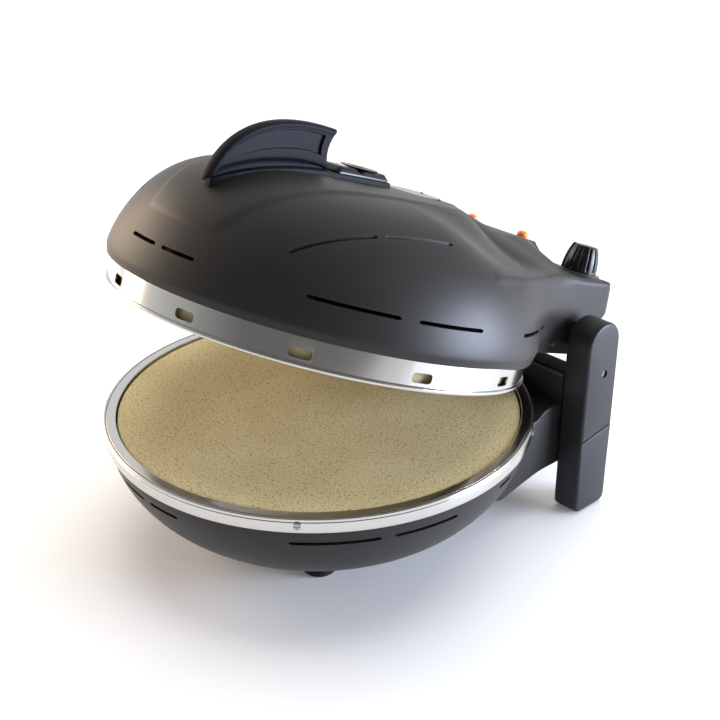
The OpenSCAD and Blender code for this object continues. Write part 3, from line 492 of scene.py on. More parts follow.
def spine_bump(ax, y):
    """Height of the spine over the deck. Its ridge sinks toward the block while its half width
    first narrows and then widens, and its flank runs out over 60 to 76 mm."""
    half = 28 - 10 * smooth_step((y - 80) / 25) + 29 * smooth_step((y - 100) / 52)
    top = Z_CROWN - 0.7 - 13.8 * smooth_step((y - 90) / 54) - 1.2 * smooth_step((100 - y) / 26)
    run = 60 + 16 * smooth_step((y - 90) / 30) - 15 * smooth_step((y - 125) / 27)
    return np.where(y < SPINE_END, soft_fall(top - Z_DECK, (ax - half) / run, 1.2), 0)


def block_bump(ax, y):
    """Height of the lamp block over the deck: flat within its half width and between y = 150 and
    190, and falling with the distance outside. It gets a little lower and narrower to the rear."""
    back = smooth_step((y - 158) / 32)
    dx = np.maximum(ax - BLOCK_HALF + 7 * back, 0) / (17 + 44 * smooth_step((190 - y) / 34))
    dy = np.where(y < 150, (150 - y) / 45, np.maximum(y - 190, 0) / 15)
    return soft_fall(BLOCK_RISE - 2.6 * back, np.hypot(dx, dy), 1.2 + 0.4 * back)


def deck_height(x, y):
    """The flat deck with a rounded edge along the side walls and the rear. In front of y = 20 it
    sinks out of the way under the dome."""
    r, ax = np.hypot(x, y), np.abs(x)
    a = np.arctan2(ax, -y)
    slant = (lid_side(a, np.full_like(r, Z_DECK - EDGE_R)) - r) * np.abs(np.sin(a))
    to_wall = np.maximum(slant, (70 - ax) / 2)
    to_wall += (HALF_HOUSE - ax - to_wall) * smooth_step((y - 120) / 50)
    deck = Z_DECK - round_off(to_wall, EDGE_R) - 60 * smooth_step((20 - y) / 40)
    return deck - np.interp(y, [208, 212, 215, 218, 222], [0, 0.6, 2, 6, 20])


def lid_top(x, y):
    """Height over the plan point (x, y): the dome with its shield, drawn down to the hollow flanks
    behind y = -20, or the deck with its bumps, whichever is higher, with a fillet."""
    r, ax = np.hypot(x, y), np.abs(x)
    inside = np.interp(y, shield_y, shield_x) - ax
    dome = dome_height(r) + SHIELD_RISE * smooth_step(inside / 5) * smooth_step((166 - r) / 16)
    s = flank_share(x, y)
    drawn = -smooth_max(-dome, -(Z_DECK + 1 + FLANK_RISE * fall(s, 1.15)), 7)
    z = dome + (drawn - dome) * smooth_step((y + 20) / 80) * smooth_step((s + 0.05) / 0.2)
    bump = np.maximum(spine_bump(ax, y), block_bump(ax, y)) * smooth_step((y - 40) / 30)
    return np.where(y > -20, smooth_max(z, deck_height(x, y) + bump, 3), z)


print("top of the lamp block when closed:", round(float(lid_top(np.array(0.0), np.array(170.0))), 1))

# %% [markdown]
# ## Lid shell: the mesh and its wall
# One grid covers the lid: rings that grow from the crown to the plan outline, taken at PLAN_Z,
# then rows down the side, which never draw in above OVERHANG_Z. Its columns crowd at the housing's
# corners, where the surface turns fastest. The moulding is 2.8 mm thick. A second grid could be
# its inside, but Solidify makes the same wall from the first one.

# %% Lid mesh
LID_WALL, LID_CREASE = 2.8, 38
CORNER_Y, CROWN_ROWS, SIDE_ROWS = 214, 82, 34
PLAN_Z, PLAN_RISE, OVERHANG_Z = 184, 11, 172


def apply_modifiers(piece, crease=32):
    """Replaces a piece's mesh by what its modifiers make of it."""
    graph = bpy.context.evaluated_depsgraph_get()
    made = bpy.data.meshes.new_from_object(piece.evaluated_get(graph))
    piece.modifiers.clear()
    piece.data = made
    made.shade_smooth()
    made.set_sharp_from_angle(angle=math.radians(crease))


corner = np.degrees(np.arctan2(HALF_HOUSE, -CORNER_Y))
spans = ((-180, -corner - 2, 30), (-corner - 2, -corner + 3, 24), (-corner + 3, corner - 3, 300),
         (corner - 3, corner + 2, 24), (corner + 2, 180, 30))
azimuth = np.radians(np.concatenate([np.linspace(*span, endpoint=False) for span in spans]))
behind = smooth_step((np.abs(np.degrees(azimuth)) - 92) / 20)
plan = lid_side(azimuth, PLAN_Z + PLAN_RISE * behind)
q = np.linspace(0, 1, CROWN_ROWS)[:, None] ** 0.8
x, y = plan * q * np.sin(azimuth), -plan * q * np.cos(azimuth)
crown_rows = np.stack([x, y, lid_top(x, y)], -1)
z_start = crown_rows[-1, :, 2]
z_rim = Z_RIM - 3 * behind
z = z_start + (z_rim - z_start) * np.linspace(0, 1, SIDE_ROWS + 1)[1:, None]
r = np.maximum(lid_side(azimuth, z), np.where(z > OVERHANG_Z, plan, 0))
side_rows = np.stack([r * np.sin(azimuth), -r * np.cos(azimuth), z], -1)
shell_grid = np.concatenate([crown_rows, side_rows])
lid_shell = make_piece("lid_shell_skin", shell_grid, grid_faces(len(shell_grid), len(azimuth)),
                       "lid", "plastic_lid", lid=True, crease=LID_CREASE)
wall = lid_shell.modifiers.new("wall", "SOLIDIFY")
wall.thickness = LID_WALL * MM
wall.offset = -1
wall.use_even_offset = False
apply_modifiers(lid_shell, LID_CREASE)
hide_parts("lid_shell")
print("lid shell points:", len(lid_shell.data.vertices))

# %% [markdown]
# ## Slits
# Warm air leaves through narrow slits in the wall. Painted black lines would look flat from near
# by, so the slits are cut. Each cutter is a flat tube that follows its slit, and it narrows at
# both ends so that they come out round.

# %% Cutters
END_STEP = 0.35


def cut_away(piece, cutter_points, cutter_faces, crease=32):
    """Cuts a closed mesh out of a piece with Blender's exact boolean, then drops the cutter."""
    mesh = bpy.data.meshes.new("cutter")
    mesh.from_pydata((np.asarray(cutter_points).reshape(-1, 3) * MM).tolist(), [], cutter_faces)
    tidy_mesh(mesh)
    cutter = bpy.data.objects.new("cutter", mesh)
    bpy.context.scene.collection.objects.link(cutter)
    cut = piece.modifiers.new("cut", "BOOLEAN")
    cut.operation = "DIFFERENCE"
    cut.solver = "EXACT"
    cut.object = cutter
    apply_modifiers(piece, crease)
    bpy.data.objects.remove(cutter)
    print(piece.name, "has", len(piece.data.polygons), "faces after its cut")


def strip_cutter(path, across, half, deep):
    """A four-sided tube along a path: each section reaches `half` to both sides along `across`
    and `deep` both ways through the wall. At the ends `half` shrinks by a sine."""
    step = np.arange(len(path))
    taper = np.sin(np.pi / 2 * np.clip(np.minimum(step, step[::-1]) / 2 + 0.12, 0, 1))
    a = across * (half * taper)[:, None]
    sides = [path - deep - a, path + deep - a, path + deep + a, path - deep + a]
    return np.stack(sides, 1).reshape(-1, 3)


def join_strips(strips):
    """One point list and one face list for several four-sided tubes."""
    faces, start = [], 0
    for strip in strips:
        faces += tube_faces(len(strip) // 4, 4, start)
        start += len(strip)
    return np.vstack(strips), faces


def crowded_ends(low, high, n):
    """Angles from low to high in degrees that crowd at both ends, where the slit is round."""
    middle = np.linspace(low + 3 * END_STEP, high - 3 * END_STEP, n)
    ends = END_STEP * np.arange(3)
    return np.radians(np.concatenate([low + ends, middle, high - ends[::-1]]))


def level_slits(ranges, radius_at, deep, half):
    """Strips for level slits on both sides of a round wall. Each range is its first and last
    azimuth in degrees and its height."""
    strips = []
    for low, high, z in ranges:
        for side in (-1, 1):
            a = crowded_ends(low, high, 12) * side
            out = np.stack([np.sin(a), -np.cos(a), 0 * a], -1)
            path = out * radius_at(a, np.full_like(a, z))[:, None] + [0, 0, z]
            strips.append(strip_cutter(path, np.array([0, 0, 1.0]), half, out * deep))
    return strips


print("a slit of 20 degrees has", len(crowded_ends(0, 20, 12)), "sections")

# %% [markdown]
# ## Slits in the lid
# The lid has a row of level slits round its waist and two curved slits on each side of the shield.
# One boolean for each slit would rebuild the big shell many times. All strips go into one cutter,
# so the exact solver runs once.

# %% Slits in the lid
SLIT_HALF, SLIT_DEEP = 1.35, np.array([0, 0, 9.0])
ARC_X, ARC_Y, ARC_R = -R_LID * 1.168, R_LID * 0.2427, R_LID * 1.9467


def crown_slits():
    """Strips for the slits beside the shield. They lie on a circle round (ARC_X, ARC_Y), so the
    radius r at a direction d solves |r d - centre| = ARC_R."""
    strips = []
    for low, high in ((34, 55.5), (58, 81.5)):
        a = crowded_ends(low, high, 16)
        dx, dy = np.sin(a), -np.cos(a)
        along = dx * ARC_X + dy * ARC_Y
        r = along + np.sqrt(along ** 2 - (ARC_X ** 2 + ARC_Y ** 2 - ARC_R ** 2))
        path = np.stack([r * dx, r * dy, lid_top(r * dx, r * dy)], -1)
        across = np.stack([path[:, 0] - ARC_X, path[:, 1] - ARC_Y, 0 * a], -1) / ARC_R
        for side in (-1, 1):
            mirror = np.array([side, 1, 1])
            strips.append(strip_cutter(path * mirror, across * mirror, SLIT_HALF, SLIT_DEEP))
    return strips


waist = [(1.3, 12.5, 164), (41, 63.5, 164), (68, 87, 164), (106, 121.6, 161)]
strips = level_slits(waist, lid_side, 9, 1.3)
strips += level_slits([(125.5, 133, 160)], lid_side, 16, 1.5)
strips += crown_slits()
points, faces = join_strips(strips)
cut_away(lid_shell, open_lid(points), faces, LID_CREASE)
print("slits in the lid:", len(strips))

# %% [markdown]
# ## Turned forms
# Rims, stone, bowl, caps and knobs are round about an upright axis. A Screw modifier could turn
# their profiles. A lathe formula is as short, and its profile can have its corners rounded first,
# so that every edge catches the light as a real one does.

# %% Turned forms
def soften(corners, radii, steps=5, closed=True):
    """Rounds each corner P of a polyline with a quadratic curve that leaves the two edges a
    radius away from P: a (1-t)^2 + 2 P t (1-t) + b t^2."""
    p = np.asarray(corners, float)
    before, after = np.roll(p, 1, 0) - p, np.roll(p, -1, 0) - p
    l1, l2 = np.linalg.norm(before, axis=1), np.linalg.norm(after, axis=1)
    r = np.minimum(np.broadcast_to(radii, len(p)), 0.49 * np.minimum(l1, l2))
    if not closed:
        r = r * np.concatenate([[0], np.ones(len(p) - 2), [0]])
    a = p + before / l1[:, None] * r[:, None]
    b = p + after / l2[:, None] * r[:, None]
    t = np.linspace(0, 1, steps)[None, :, None]
    out = (a[:, None] * (1 - t) ** 2 + 2 * p[:, None] * t * (1 - t) + b[:, None] * t ** 2)
    out = out.reshape(-1, 2)
    keep = np.concatenate([[True], np.linalg.norm(np.diff(out, axis=0), axis=1) > 1e-4])
    return out[keep]


def lathe(profile, segments, at=(0, 0)):
    """Turns (radius, height) rows round the upright axis through `at`: x = r sin a, y = -r cos a."""
    profile = np.asarray(profile, float)
    a = np.linspace(0, 2 * np.pi, segments, endpoint=False)
    r, z = profile[:, :1], profile[:, 1:]
    return np.stack([r * np.sin(a), -r * np.cos(a), z + 0 * a], -1) + np.array([*at, 0])


def turned_piece(name, profile, segments, body, slot, at=(0, 0), **options):
    """A piece from a profile that is turned round."""
    grid = lathe(profile, segments, at)
    return make_piece(name, grid, grid_faces(len(profile), segments), body, slot, **options)


def ring_piece(name, corners, radii, segments, body, slot, **options):
    """A ring whose section is a closed outline with rounded corners."""
    outline = soften(corners, radii)
    profile = np.vstack([outline, outline[:1]])
    return turned_piece(name, profile, segments, body, slot, **options)


def turned_cut(piece, profile, segments, at, crease):
    """Cuts a turned form, given for the closed lid, out of a piece of the lid."""
    cut_away(piece, open_lid(lathe(profile, segments, at)), grid_faces(len(profile), segments), crease)


print("a square with soft corners has", len(soften([[0, 0], [9, 0], [9, 9], [0, 9]], 2)), "points")

# %% [markdown]
# ## Lid band
# A band of thin stainless strip hangs under the shell. Its lower edge is folded inwards, and
# twelve windows with a sheet of mica behind them show the glow. The ring could be a bevelled
# cylinder. A turned outline also shows the folded edge and the sheet's thickness.

# %% Lid band
WINDOWS, WINDOW_START, WINDOW_Z = 12, 13, 126.5
lid_band = ring_piece("lid_band_skin", [
    [161.0, 117.5], [164.6, 117.5], [165.0, 118.6], [165.0, 119.6], [164.4, 120.3], [163.0, 120.5],
    [163.0, 140.8], [161.8, 140.8], [161.8, 118.7], [161.0, 118.7]],
    [0.3, 0.5, 0.5, 0.5, 0.4, 0.3, 0.3, 0.3, 0.3, 0.3], 360, "lid", "steel_trim", lid=True)
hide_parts("lid_band")

window = soften([[-8, -3.5], [8, -3.5], [8, 3.5], [-8, 3.5]], 3.2)
points, faces = [], []
for i in range(WINDOWS):
    a = math.radians(WINDOW_START + 360 / WINDOWS * i)
    for r in (155, 170):
        points.append(np.stack([r * math.sin(a) + window[:, 0] * math.cos(a),
                                -r * math.cos(a) + window[:, 0] * math.sin(a),
                                WINDOW_Z + window[:, 1]], -1))
    faces += tube_faces(2, len(window), 2 * len(window) * i)
cut_away(lid_band, open_lid(np.vstack(points)), faces)

ring_piece("window_liner", [[157.9, 122.6], [158.4, 122.6], [158.4, 131.5], [157.9, 131.5]],
           0.1, 180, "lid", "pan_metal", lid=True, finish=mica)

# %% [markdown]
# ## Rims of the base
# The base has a band with a shallow groove round it, and a flat ring that holds the stone. Both
# are turned like the lid's band, because their bright bent edges are what makes them look like
# sheet and not like a solid hoop.

# %% Rims of the base
base_band = ring_piece("base_band_skin", [
    [168.4, 100.5], [170.2, 100.5], [171.0, 101.3], [171.0, 109.1], [170.5, 109.5], [171.0, 109.9],
    [171.0, 111.9], [169.9, 112.5], [169.0, 111.8], [169.0, 110.5], [168.4, 110.5]],
    [0.3, 0.5, 0.5, 0.25, 0.2, 0.25, 0.6, 0.6, 0.4, 0.2, 0.2], 360, "base", "steel_trim")
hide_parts("base_band")
base_ring = ring_piece("base_ring_skin", [
    [161.2, 107.5], [162.1, 107.5], [162.1, 111.3], [168.6, 111.3], [168.6, 112.2], [161.2, 112.2]],
    [0.2, 0.2, 0.2, 0.2, 0.4, 0.7], 360, "base", "steel_trim")
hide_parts("base_ring")

# %% [markdown]
# ## Baking stone
# A pressed disc, 320 mm across and 12 mm thick, with a small soft arris. A cylinder with a Bevel
# modifier would do as well. The lathe is at hand, and it lets the top edge be rounder than the
# lower one, as wear leaves it.

# %% Baking stone
stone_line = soften([[0, 99.2], [158.8, 99.2], [160, 100.4], [160, 110.0], [158.6, 111.2], [0, 111.2]],
                    [0, 1, 1, 1.0, 1.6, 0], closed=False)
stone_disc = turned_piece("stone_disc", stone_line, 240, "base", "stone")
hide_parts("baking_stone")

# %% [markdown]
# ## Bowl
# The base is a moulded bowl with a full belly, a flat floor and the same kind of slits as the lid.
# A squashed sphere would be too thin at the belly. A superellipse between height and radius has
# one exponent for each, and the inner wall is the same line drawn in by the wall.

# %% Bowl
BOWL_R, BOWL_TOP, BOWL_FLOOR, BOWL_WALL = 168, 100.5, 13.5, 2.6
BELLY_DEPTH = 89.5


def bowl_radius(z):
    """Superellipse between height and radius: r = R (1 - w^1.75)^(1/2.8), w from the top down."""
    w = (BOWL_TOP - z) / BELLY_DEPTH
    return BOWL_R * (1 - w ** 1.75) ** (1 / 2.8)


share = np.linspace(0, 1, 60)
z_down = BOWL_TOP - (BOWL_TOP - BOWL_FLOOR) * share ** 1.1
belly = np.stack([bowl_radius(z_down), z_down], -1)
inner = belly + np.stack([-BOWL_WALL + 0 * share, BOWL_WALL * share], -1)
bowl_line = np.vstack([[[0, BOWL_FLOOR]], belly[::-1], inner, [[0, BOWL_FLOOR + BOWL_WALL]]])
bowl = turned_piece("bowl_skin", bowl_line, 240, "base", "plastic_base", crease=35)
bowl_slits = [(1.2, 11.6, 89), (41.6, 64.1, 89), (67.4, 85.5, 89), (101.8, 108, 91)]
points, faces = join_strips(level_slits(bowl_slits, lambda a, z: bowl_radius(z), 8, 1.5))
cut_away(bowl, points, faces, 35)
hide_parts("base_bowl")

# %% [markdown]
# ## Rear block
# Two straight cheeks run back from the bowl to the posts, with a cross wall between them. They are
# one closed box in the moulding, so one rounded slab across the whole width is laid through the
# bowl. A cube with a Bevel modifier would be quicker, but its rim would not follow this outline.

# %% Slabs and the rear block
def slab(outline, x_low, x_high, edge, steps=4):
    """A plate that stands in the Y-Z plane. Near both faces its rings are drawn in along their
    normals by edge (1 - sin q) while they go out by edge (1 - cos q): a rounded rim."""
    p = np.asarray(outline, float)
    along = np.roll(p, -1, 0) - np.roll(p, 1, 0)
    along /= np.maximum(np.linalg.norm(along, axis=1), 1e-9)[:, None]
    inward = np.stack([-along[:, 1], along[:, 0]], -1)
    area = np.sum(p[:, 0] * np.roll(p[:, 1], -1) - np.roll(p[:, 0], -1) * p[:, 1])
    inward *= np.sign(area)
    q = np.linspace(0, np.pi / 2, steps + 1)
    draw = edge * (1 - np.sin(q))
    x = x_low + edge * (1 - np.cos(q))
    xs = np.concatenate([x, (x_low + x_high) - x[::-1]])
    ds = np.concatenate([draw, draw[::-1]])
    rings = p[None] + inward[None] * ds[:, None, None]
    grid = np.concatenate([np.broadcast_to(xs[:, None, None], rings.shape[:2] + (1,)), rings], -1)
    return grid, tube_faces(len(xs), len(p))


CHEEK_X = 119
block_line = soften([[70, 45], [89, 32], [114, 37.6], [138, 41.6], [181.5, 40.7], [181.5, 99.3],
                     [148, 99.3], [138, 97.5], [131, 92.5], [70, 88]], [4, 8, 8, 8, 4, 2, 5, 4, 4, 4])
points, faces = slab(block_line, -CHEEK_X, CHEEK_X, 1.6)
make_piece("rear_block_skin", points, faces, "base", "plastic_base", crease=30)

# %% [markdown]
# ## Front feet
# Two rubber feet stand under the bowl: short pegs with a rounded sole. Two bevelled cylinders
# would do. They are turned like the rest and reach up into the bowl's floor, so that no gap
# shows. Both are in one mesh, because they are one node in the CAD model.

# %% Front feet
FOOT_X, FOOT_Y = 53, -48
foot = soften([[0, 0], [12.5, 0], [14, 1.5], [14.4, 20.5], [0, 20.5]], [0, 0.6, 0.8, 1, 0],
              closed=False)
feet = np.concatenate([lathe(foot, 48, (FOOT_X * side, FOOT_Y)) for side in (-1, 1)])
foot_faces = grid_faces(len(foot), 48) + grid_faces(len(foot), 48, start=len(foot) * 48)
feet_piece = make_piece("front_feet_skins", feet, foot_faces, "base", "rubber")
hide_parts("front_feet")

# %% [markdown]
# ## Posts
# Each post is a thick plate with a round head about the hinge and softly rounded rims, split from
# its shoe by a slanting joint line. Modelling it whole and cutting a line would leave sharp lips.
# Two slabs with a gap between them give each part its own rounded rim.

# %% Posts
POST_IN, POST_OUT, POST_EDGE, POST_CREASE = 120, 144, 2.6, 30
SCREW_Y, SCREW_Z = 181, 127
HEAD_R, SEAM_GAP, SEAM_Z, SEAM_Y = 19.5, 0.4, 69, 153.5
front, rear = HINGE[1] - HEAD_R, HINGE[1] + HEAD_R
slope = math.tan(math.radians(8))
front_seam, rear_seam = SEAM_Z + slope * (front - SEAM_Y), SEAM_Z + slope * (rear - SEAM_Y)
arc = np.linspace(0, np.pi, 40)
head = np.stack([HINGE[1] + HEAD_R * np.cos(arc), HINGE[2] + HEAD_R * np.sin(arc)], -1)
upper = np.vstack([[[rear, rear_seam + SEAM_GAP]], head, [[front, front_seam + SEAM_GAP]]])
sole = soften([[front, 30], [front, 1], [rear, 1], [rear, 30]], [0, 8, 8, 0], 9)
lower = np.vstack([[[front, front_seam]], sole, [[rear, rear_seam]]])
screw_hole = np.array([[0, 140.0], [3.0, 140.0], [3.0, 143.3], [3.6, 144.6], [0, 144.6]])
for side, word in ((1, "right"), (-1, "left")):
    low, high = sorted((side * POST_IN, side * POST_OUT))
    points, faces = slab(upper, low, high, POST_EDGE)
    post = make_piece("post_" + word + "_skin", points, faces, "base", "plastic_post",
                      crease=POST_CREASE)
    hole = lathe(screw_hole, 40)
    hole = np.stack([side * hole[..., 2], SCREW_Y + hole[..., 0], SCREW_Z + hole[..., 1]], -1)
    cut_away(post, hole, grid_faces(len(screw_hole), 40), POST_CREASE)
    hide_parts("post_" + word)
    points, faces = slab(lower, low, high, POST_EDGE)
    shoe = make_piece("shoe_" + word + "_skin", points, faces, "base", "plastic_post",
                      crease=POST_CREASE)
    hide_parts("shoe_" + word)

# %% [markdown]
# ## Fin handle
# The handle is a thin curved fin with a sunken panel in each cheek. It could be a plate with a
# boolean and a bevel, and the bevel would break at the thin front. It is swept along its own side
# curves instead: every column is one cross section, with a narrow neck, a hollow fillet, a flat
# cheek and a round rim.

# %% Fin section
FIN_FRONT, FIN_TIP = -141.0, -32.0
PLINTH_TOP = Z_CROWN + 5
NECK_HALF, CHEEK_HALF, RIM_HALF = 2.9, 5.1, 5.5
RIM_TALL, NECK_TALL, FILLET_TALL, TAIL_BOW = 3.2, 4.2, 3.4, 5.2


def fin_top(s):
    """Upper outline from the foot to the tip, as (y, z)."""
    return np.stack([bez(FIN_FRONT, FIN_FRONT + 14.5, FIN_TIP - 1, s),
                     bez(Z_CROWN - 18, Z_CROWN + 43, Z_CROWN + 35.2, s)], -1)


def fin_foot(s):
    """Lower outline, which is also the top of the plinth."""
    return np.stack([bez(FIN_FRONT + 1.5, FIN_FRONT + 42, FIN_TIP - 2, s),
                     bez(Z_CROWN - 16.2, Z_CROWN + 3.4, PLINTH_TOP + 0.4, s)], -1)


def fin_section(s):
    """Points (y, z) and half thickness of each cross section, from the neck up to the rim. Each
    row is a height over the foot line and a half thickness: a sine through the fillet, the cheek
    less the panel's depth, which grows toward the tail, and a round rim. Near the tail the
    sections bow forward by a parabola, 4 u (1 - u)."""
    top, foot = fin_top(s), fin_foot(s)
    tall = np.linalg.norm(top - foot, axis=-1)
    rim = np.minimum(RIM_TALL, 0.42 * tall)
    neck = np.clip((tall - 3) * 0.5, 0, NECK_TALL) * np.sin(np.pi * np.clip(s, 0, 1) ** 0.8) ** 0.5
    body = tall - rim
    t_in = np.clip((s - 0.16) / 0.1, 0, 1)
    low, high = 0.28 + 0.16 * (1 - t_in), 0.86 - 0.3 * (1 - t_in)
    deep = np.where(s < 0.958, 0.15 + 1.9 * np.clip((s - 0.2) / 0.75, 0, 1) ** 1.5, 0)
    deep = deep * smooth_step((s - 0.17) / 0.02)
    fillet = FILLET_TALL * np.minimum(neck / 3, 1)
    rows = [(f * neck, NECK_HALF + 0 * s) for f in (0, 0.5, 0.85)]
    rows += [(neck + fillet * q, NECK_HALF + (CHEEK_HALF - NECK_HALF) * np.sin(q * np.pi / 2) + 0 * s)
             for q in np.linspace(0.2, 1, 6)]
    start = neck + fillet
    cheek = [(0.5 * low, 0), (low - 0.012, 0), (low, 0.75), (low + 0.012, 1), (0.4, 1), (0.55, 1),
             (0.7, 1), (high - 0.012, 1), (high, 0.75), (high + 0.012, 0), (0.95, 0)]
    rows += [(start + (body - start) * np.clip(f, low * 0.5, 0.97), CHEEK_HALF - deep * cut)
             for f, cut in cheek]
    rows += [(body + rim * np.sin(q), RIM_HALF * np.cos(q) ** 0.8 + 0 * s)
             for q in np.linspace(0, np.pi / 2, 9)]
    up, wide = np.array([row[0] for row in rows]), np.array([row[1] for row in rows])
    share = np.clip(up / tall, 0, 1)
    line = foot + (top - foot) * share[..., None]
    line[..., 0] -= TAIL_BOW * 4 * share * (1 - share) * smooth_step((s - 0.75) / 0.25)
    return line, wide


print("fin height at its middle:", round(float((fin_top(0.5) - fin_foot(0.5))[1]), 1), "mm")

# %% [markdown]
# ## Fin mesh
# The right half of each section is mirrored and joined to a loop. The ends of such a tube could be
# closed with one big face. Here three more columns round the tail off, and quads across the loop
# close both ends, which shade better than a face with many corners.

# %% Fin mesh
s = np.concatenate([np.linspace(0.0, 0.17, 14), np.linspace(0.19, 0.945, 90),
                    [0.955, 0.9585, 0.965, 0.98, 0.99, 1.0]])
line, wide = fin_section(s)
wide = wide * (0.35 + 0.65 * smooth_step((s + 0.02) / 0.10))
tail_line, tail_wide = line[:, -1:], wide[:, -1:]
line = np.concatenate([line] + [tail_line + [out, 0] for out in (0.45, 0.80, 1.15)], 1)
wide = np.concatenate([wide] + [np.maximum(tail_wide - less, 0) for less in (0.25, 0.5, 0.9)], 1)


def ladder_faces(first, around, steps):
    """Closes one end of a tube with quads between the two sides of its loop of points."""
    return [[first + k, first + k + 1, first + around - 2 - k, first + around - 1 - k]
            for k in range(steps)]


rows, cols = wide.shape
right = np.stack([wide, line[..., 0], line[..., 1]], -1)
left = right[::-1] * [-1, 1, 1]
loop = np.concatenate([right, left[1:]], 0).transpose(1, 0, 2)
around = loop.shape[1]
faces = grid_faces(cols, around)
faces += ladder_faces(0, around, rows - 1) + ladder_faces((cols - 1) * around, around, rows - 1)
fin = make_piece("handle_fin_skin", loop, faces, "lid", "plastic_handle", lid=True, crease=34)
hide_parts("handle_fin")

# %% [markdown]
# ## Inlays of the handle
# A thin panel of the same nylon lies in each sunken cheek. It could be a cut-out of the fin. It
# takes the rows and columns of the fin's own grid that cover the recess, so it lies on the
# cheek exactly, 0.12 mm proud of it, whatever the fin's size is.

# %% Inlays
PANEL = (slice(12, 17), slice(15, 103))
PROUD, PANEL_THICK = 0.12, 0.9
panel_line, panel_wide = line[PANEL], wide[PANEL]
high, long = panel_wide.shape
skins, faces = [], []
for side in (-1, 1):
    sheet = np.stack([side * (panel_wide + PROUD), panel_line[..., 0], panel_line[..., 1]], -1)
    under = sheet - [side * PANEL_THICK, 0, 0]
    loop = np.concatenate([sheet, under[::-1]], 0).transpose(1, 0, 2)
    start, around = sum(map(len, skins)), loop.shape[1]
    faces += grid_faces(long, around, start)
    faces += ladder_faces(start, around, high - 1)
    faces += ladder_faces(start + (long - 1) * around, around, high - 1)
    skins.append(loop.reshape(-1, 3))
inlays = make_piece("handle_inlay_skins", np.vstack(skins), faces, "lid", slot_of["handle_inlays"],
                    lid=True, crease=34)
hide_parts("handle_inlays")

# %% [markdown]
# ## Plinth
# A strip thins toward the front under the fin and ends square behind the crown dial. A Shrinkwrap
# modifier could lay it on the crown. Its lower edge is drawn from the lid's own height function
# instead, so that it always meets the crown without a gap.

# %% Plinth
PLINTH_REAR = 27.5
y = np.concatenate([np.linspace(FIN_FRONT + 5, -100, 24), np.linspace(-96, PLINTH_REAR - 1.4, 40),
                    PLINTH_REAR - np.array([0.6, 0.1, 0])])
half = np.interp(y, [-136, -134, -130, -118, -32, *(PLINTH_REAR - np.array([1.4, 0.6, 0.1, 0]))],
                 [2.4, 4.2, 5.6, 7.8, 12.6, 13, 12.9, 12.5, 12])
foot_line = fin_foot(np.linspace(0, 1, 200))
z_top = np.interp(y, foot_line[:, 0], foot_line[:, 1])
z_top = np.where(y > PLINTH_REAR - 1.3, z_top - (y - PLINTH_REAR + 1.4) * 0.5, z_top) - 0.35
z_low = np.minimum(lid_top(np.zeros_like(y), y) - 1.2, z_top - 0.9)
section = [(1.0, 0.0)] + [(1 - 0.085 * (1 - math.cos(q)), 1 - 0.22 * (1 - math.sin(q)))
                          for q in np.linspace(0, np.pi / 2, 6)]
sides = [np.stack([half * a, y, z_low + (z_top - z_low) * b], -1) for a, b in section]
sides += [p * [-1, 1, 1] for p in sides[::-1]]
loop = np.array(sides).transpose(1, 0, 2)
plinth = make_piece("handle_plinth_skin", loop, tube_faces(len(y), loop.shape[1]), "lid",
                    "plastic_handle", lid=True, crease=40)
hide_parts("handle_plinth")

# %% [markdown]
# ## Pedestal of the crown dial
# A long black pedestal with a round dish carries a small dial. A bevelled box would round all its
# edges alike. Here six outlines are stacked, each a little smaller, so that the foot stays crisp
# and the top slopes. The dish is then cut with a turned form.

# %% Pedestal
DIAL_AT = (0, 2)
PEDESTAL_X, PEDESTAL_Y, PEDESTAL_AT_Y, PEDESTAL_Z = 12.6, 28.5, -2.5, 235.3


def rounded_rectangle(half_x, half_y, radius, n=8):
    """Outline of a rectangle with round corners: four quarter circles of n points each."""
    q = np.linspace(0, np.pi / 2, n)
    arc = np.stack([np.cos(q), np.sin(q)], -1) * radius
    parts = [arc, arc[::-1] * [-1, 1], -arc, arc[::-1] * [1, -1]]
    centres = np.array([[1, 1], [-1, 1], [-1, -1], [1, -1]]) * [half_x - radius, half_y - radius]
    return np.vstack([p + c for p, c in zip(parts, centres)])


rings = []
for e, rise in ((0, 0), (0, 0.8), (0.3, 1.6), (1.7, 4.2), (2.1, 4.8), (2.7, 5.0)):
    outline = rounded_rectangle(PEDESTAL_X - e, PEDESTAL_Y - 2 * e, 4 - 0.6 * e) + [0, PEDESTAL_AT_Y]
    rings.append(np.column_stack([outline, np.full(len(outline), PEDESTAL_Z + rise)]))
crown = make_piece("crown_ring_skin", np.array(rings), tube_faces(len(rings), len(rings[0])),
                   "lid", "plastic_black", lid=True, crease=40)
dish = soften([[0, 237.9], [14.6, 237.9], [16, 239.2], [16.3, 246], [0, 246]], [0, 0.3, 1, 0.3, 0],
              closed=False)
turned_cut(crown, dish, 96, DIAL_AT, 40)
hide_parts("crown_ring")

# %% [markdown]
# ## Crown dial
# The dial is a shallow disc on a stalk, hollow on top with a small rise in its middle. It could be
# a cylinder with inset faces. It is turned from one profile, because its slopes are all round, and
# it rides on its own body, so that it turns in the dish.

# %% Crown dial
profile = soften([[0, 227.2], [3.9, 227.2], [3.9, 238.4], [8.5, 239.6], [14.6, 240.9], [15, 241.4],
                  [14.2, 241.7], [8, 241.2], [3.5, 242.2], [0, 242.4]],
                 [0, 0, 1, 2, 0.5, 0.3, 0.4, 3, 0, 0], closed=False)
dial_piece = turned_piece("crown_dial_skin", profile, 96, "dial", "plastic_black", DIAL_AT, lid=True)
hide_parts("crown_dial")
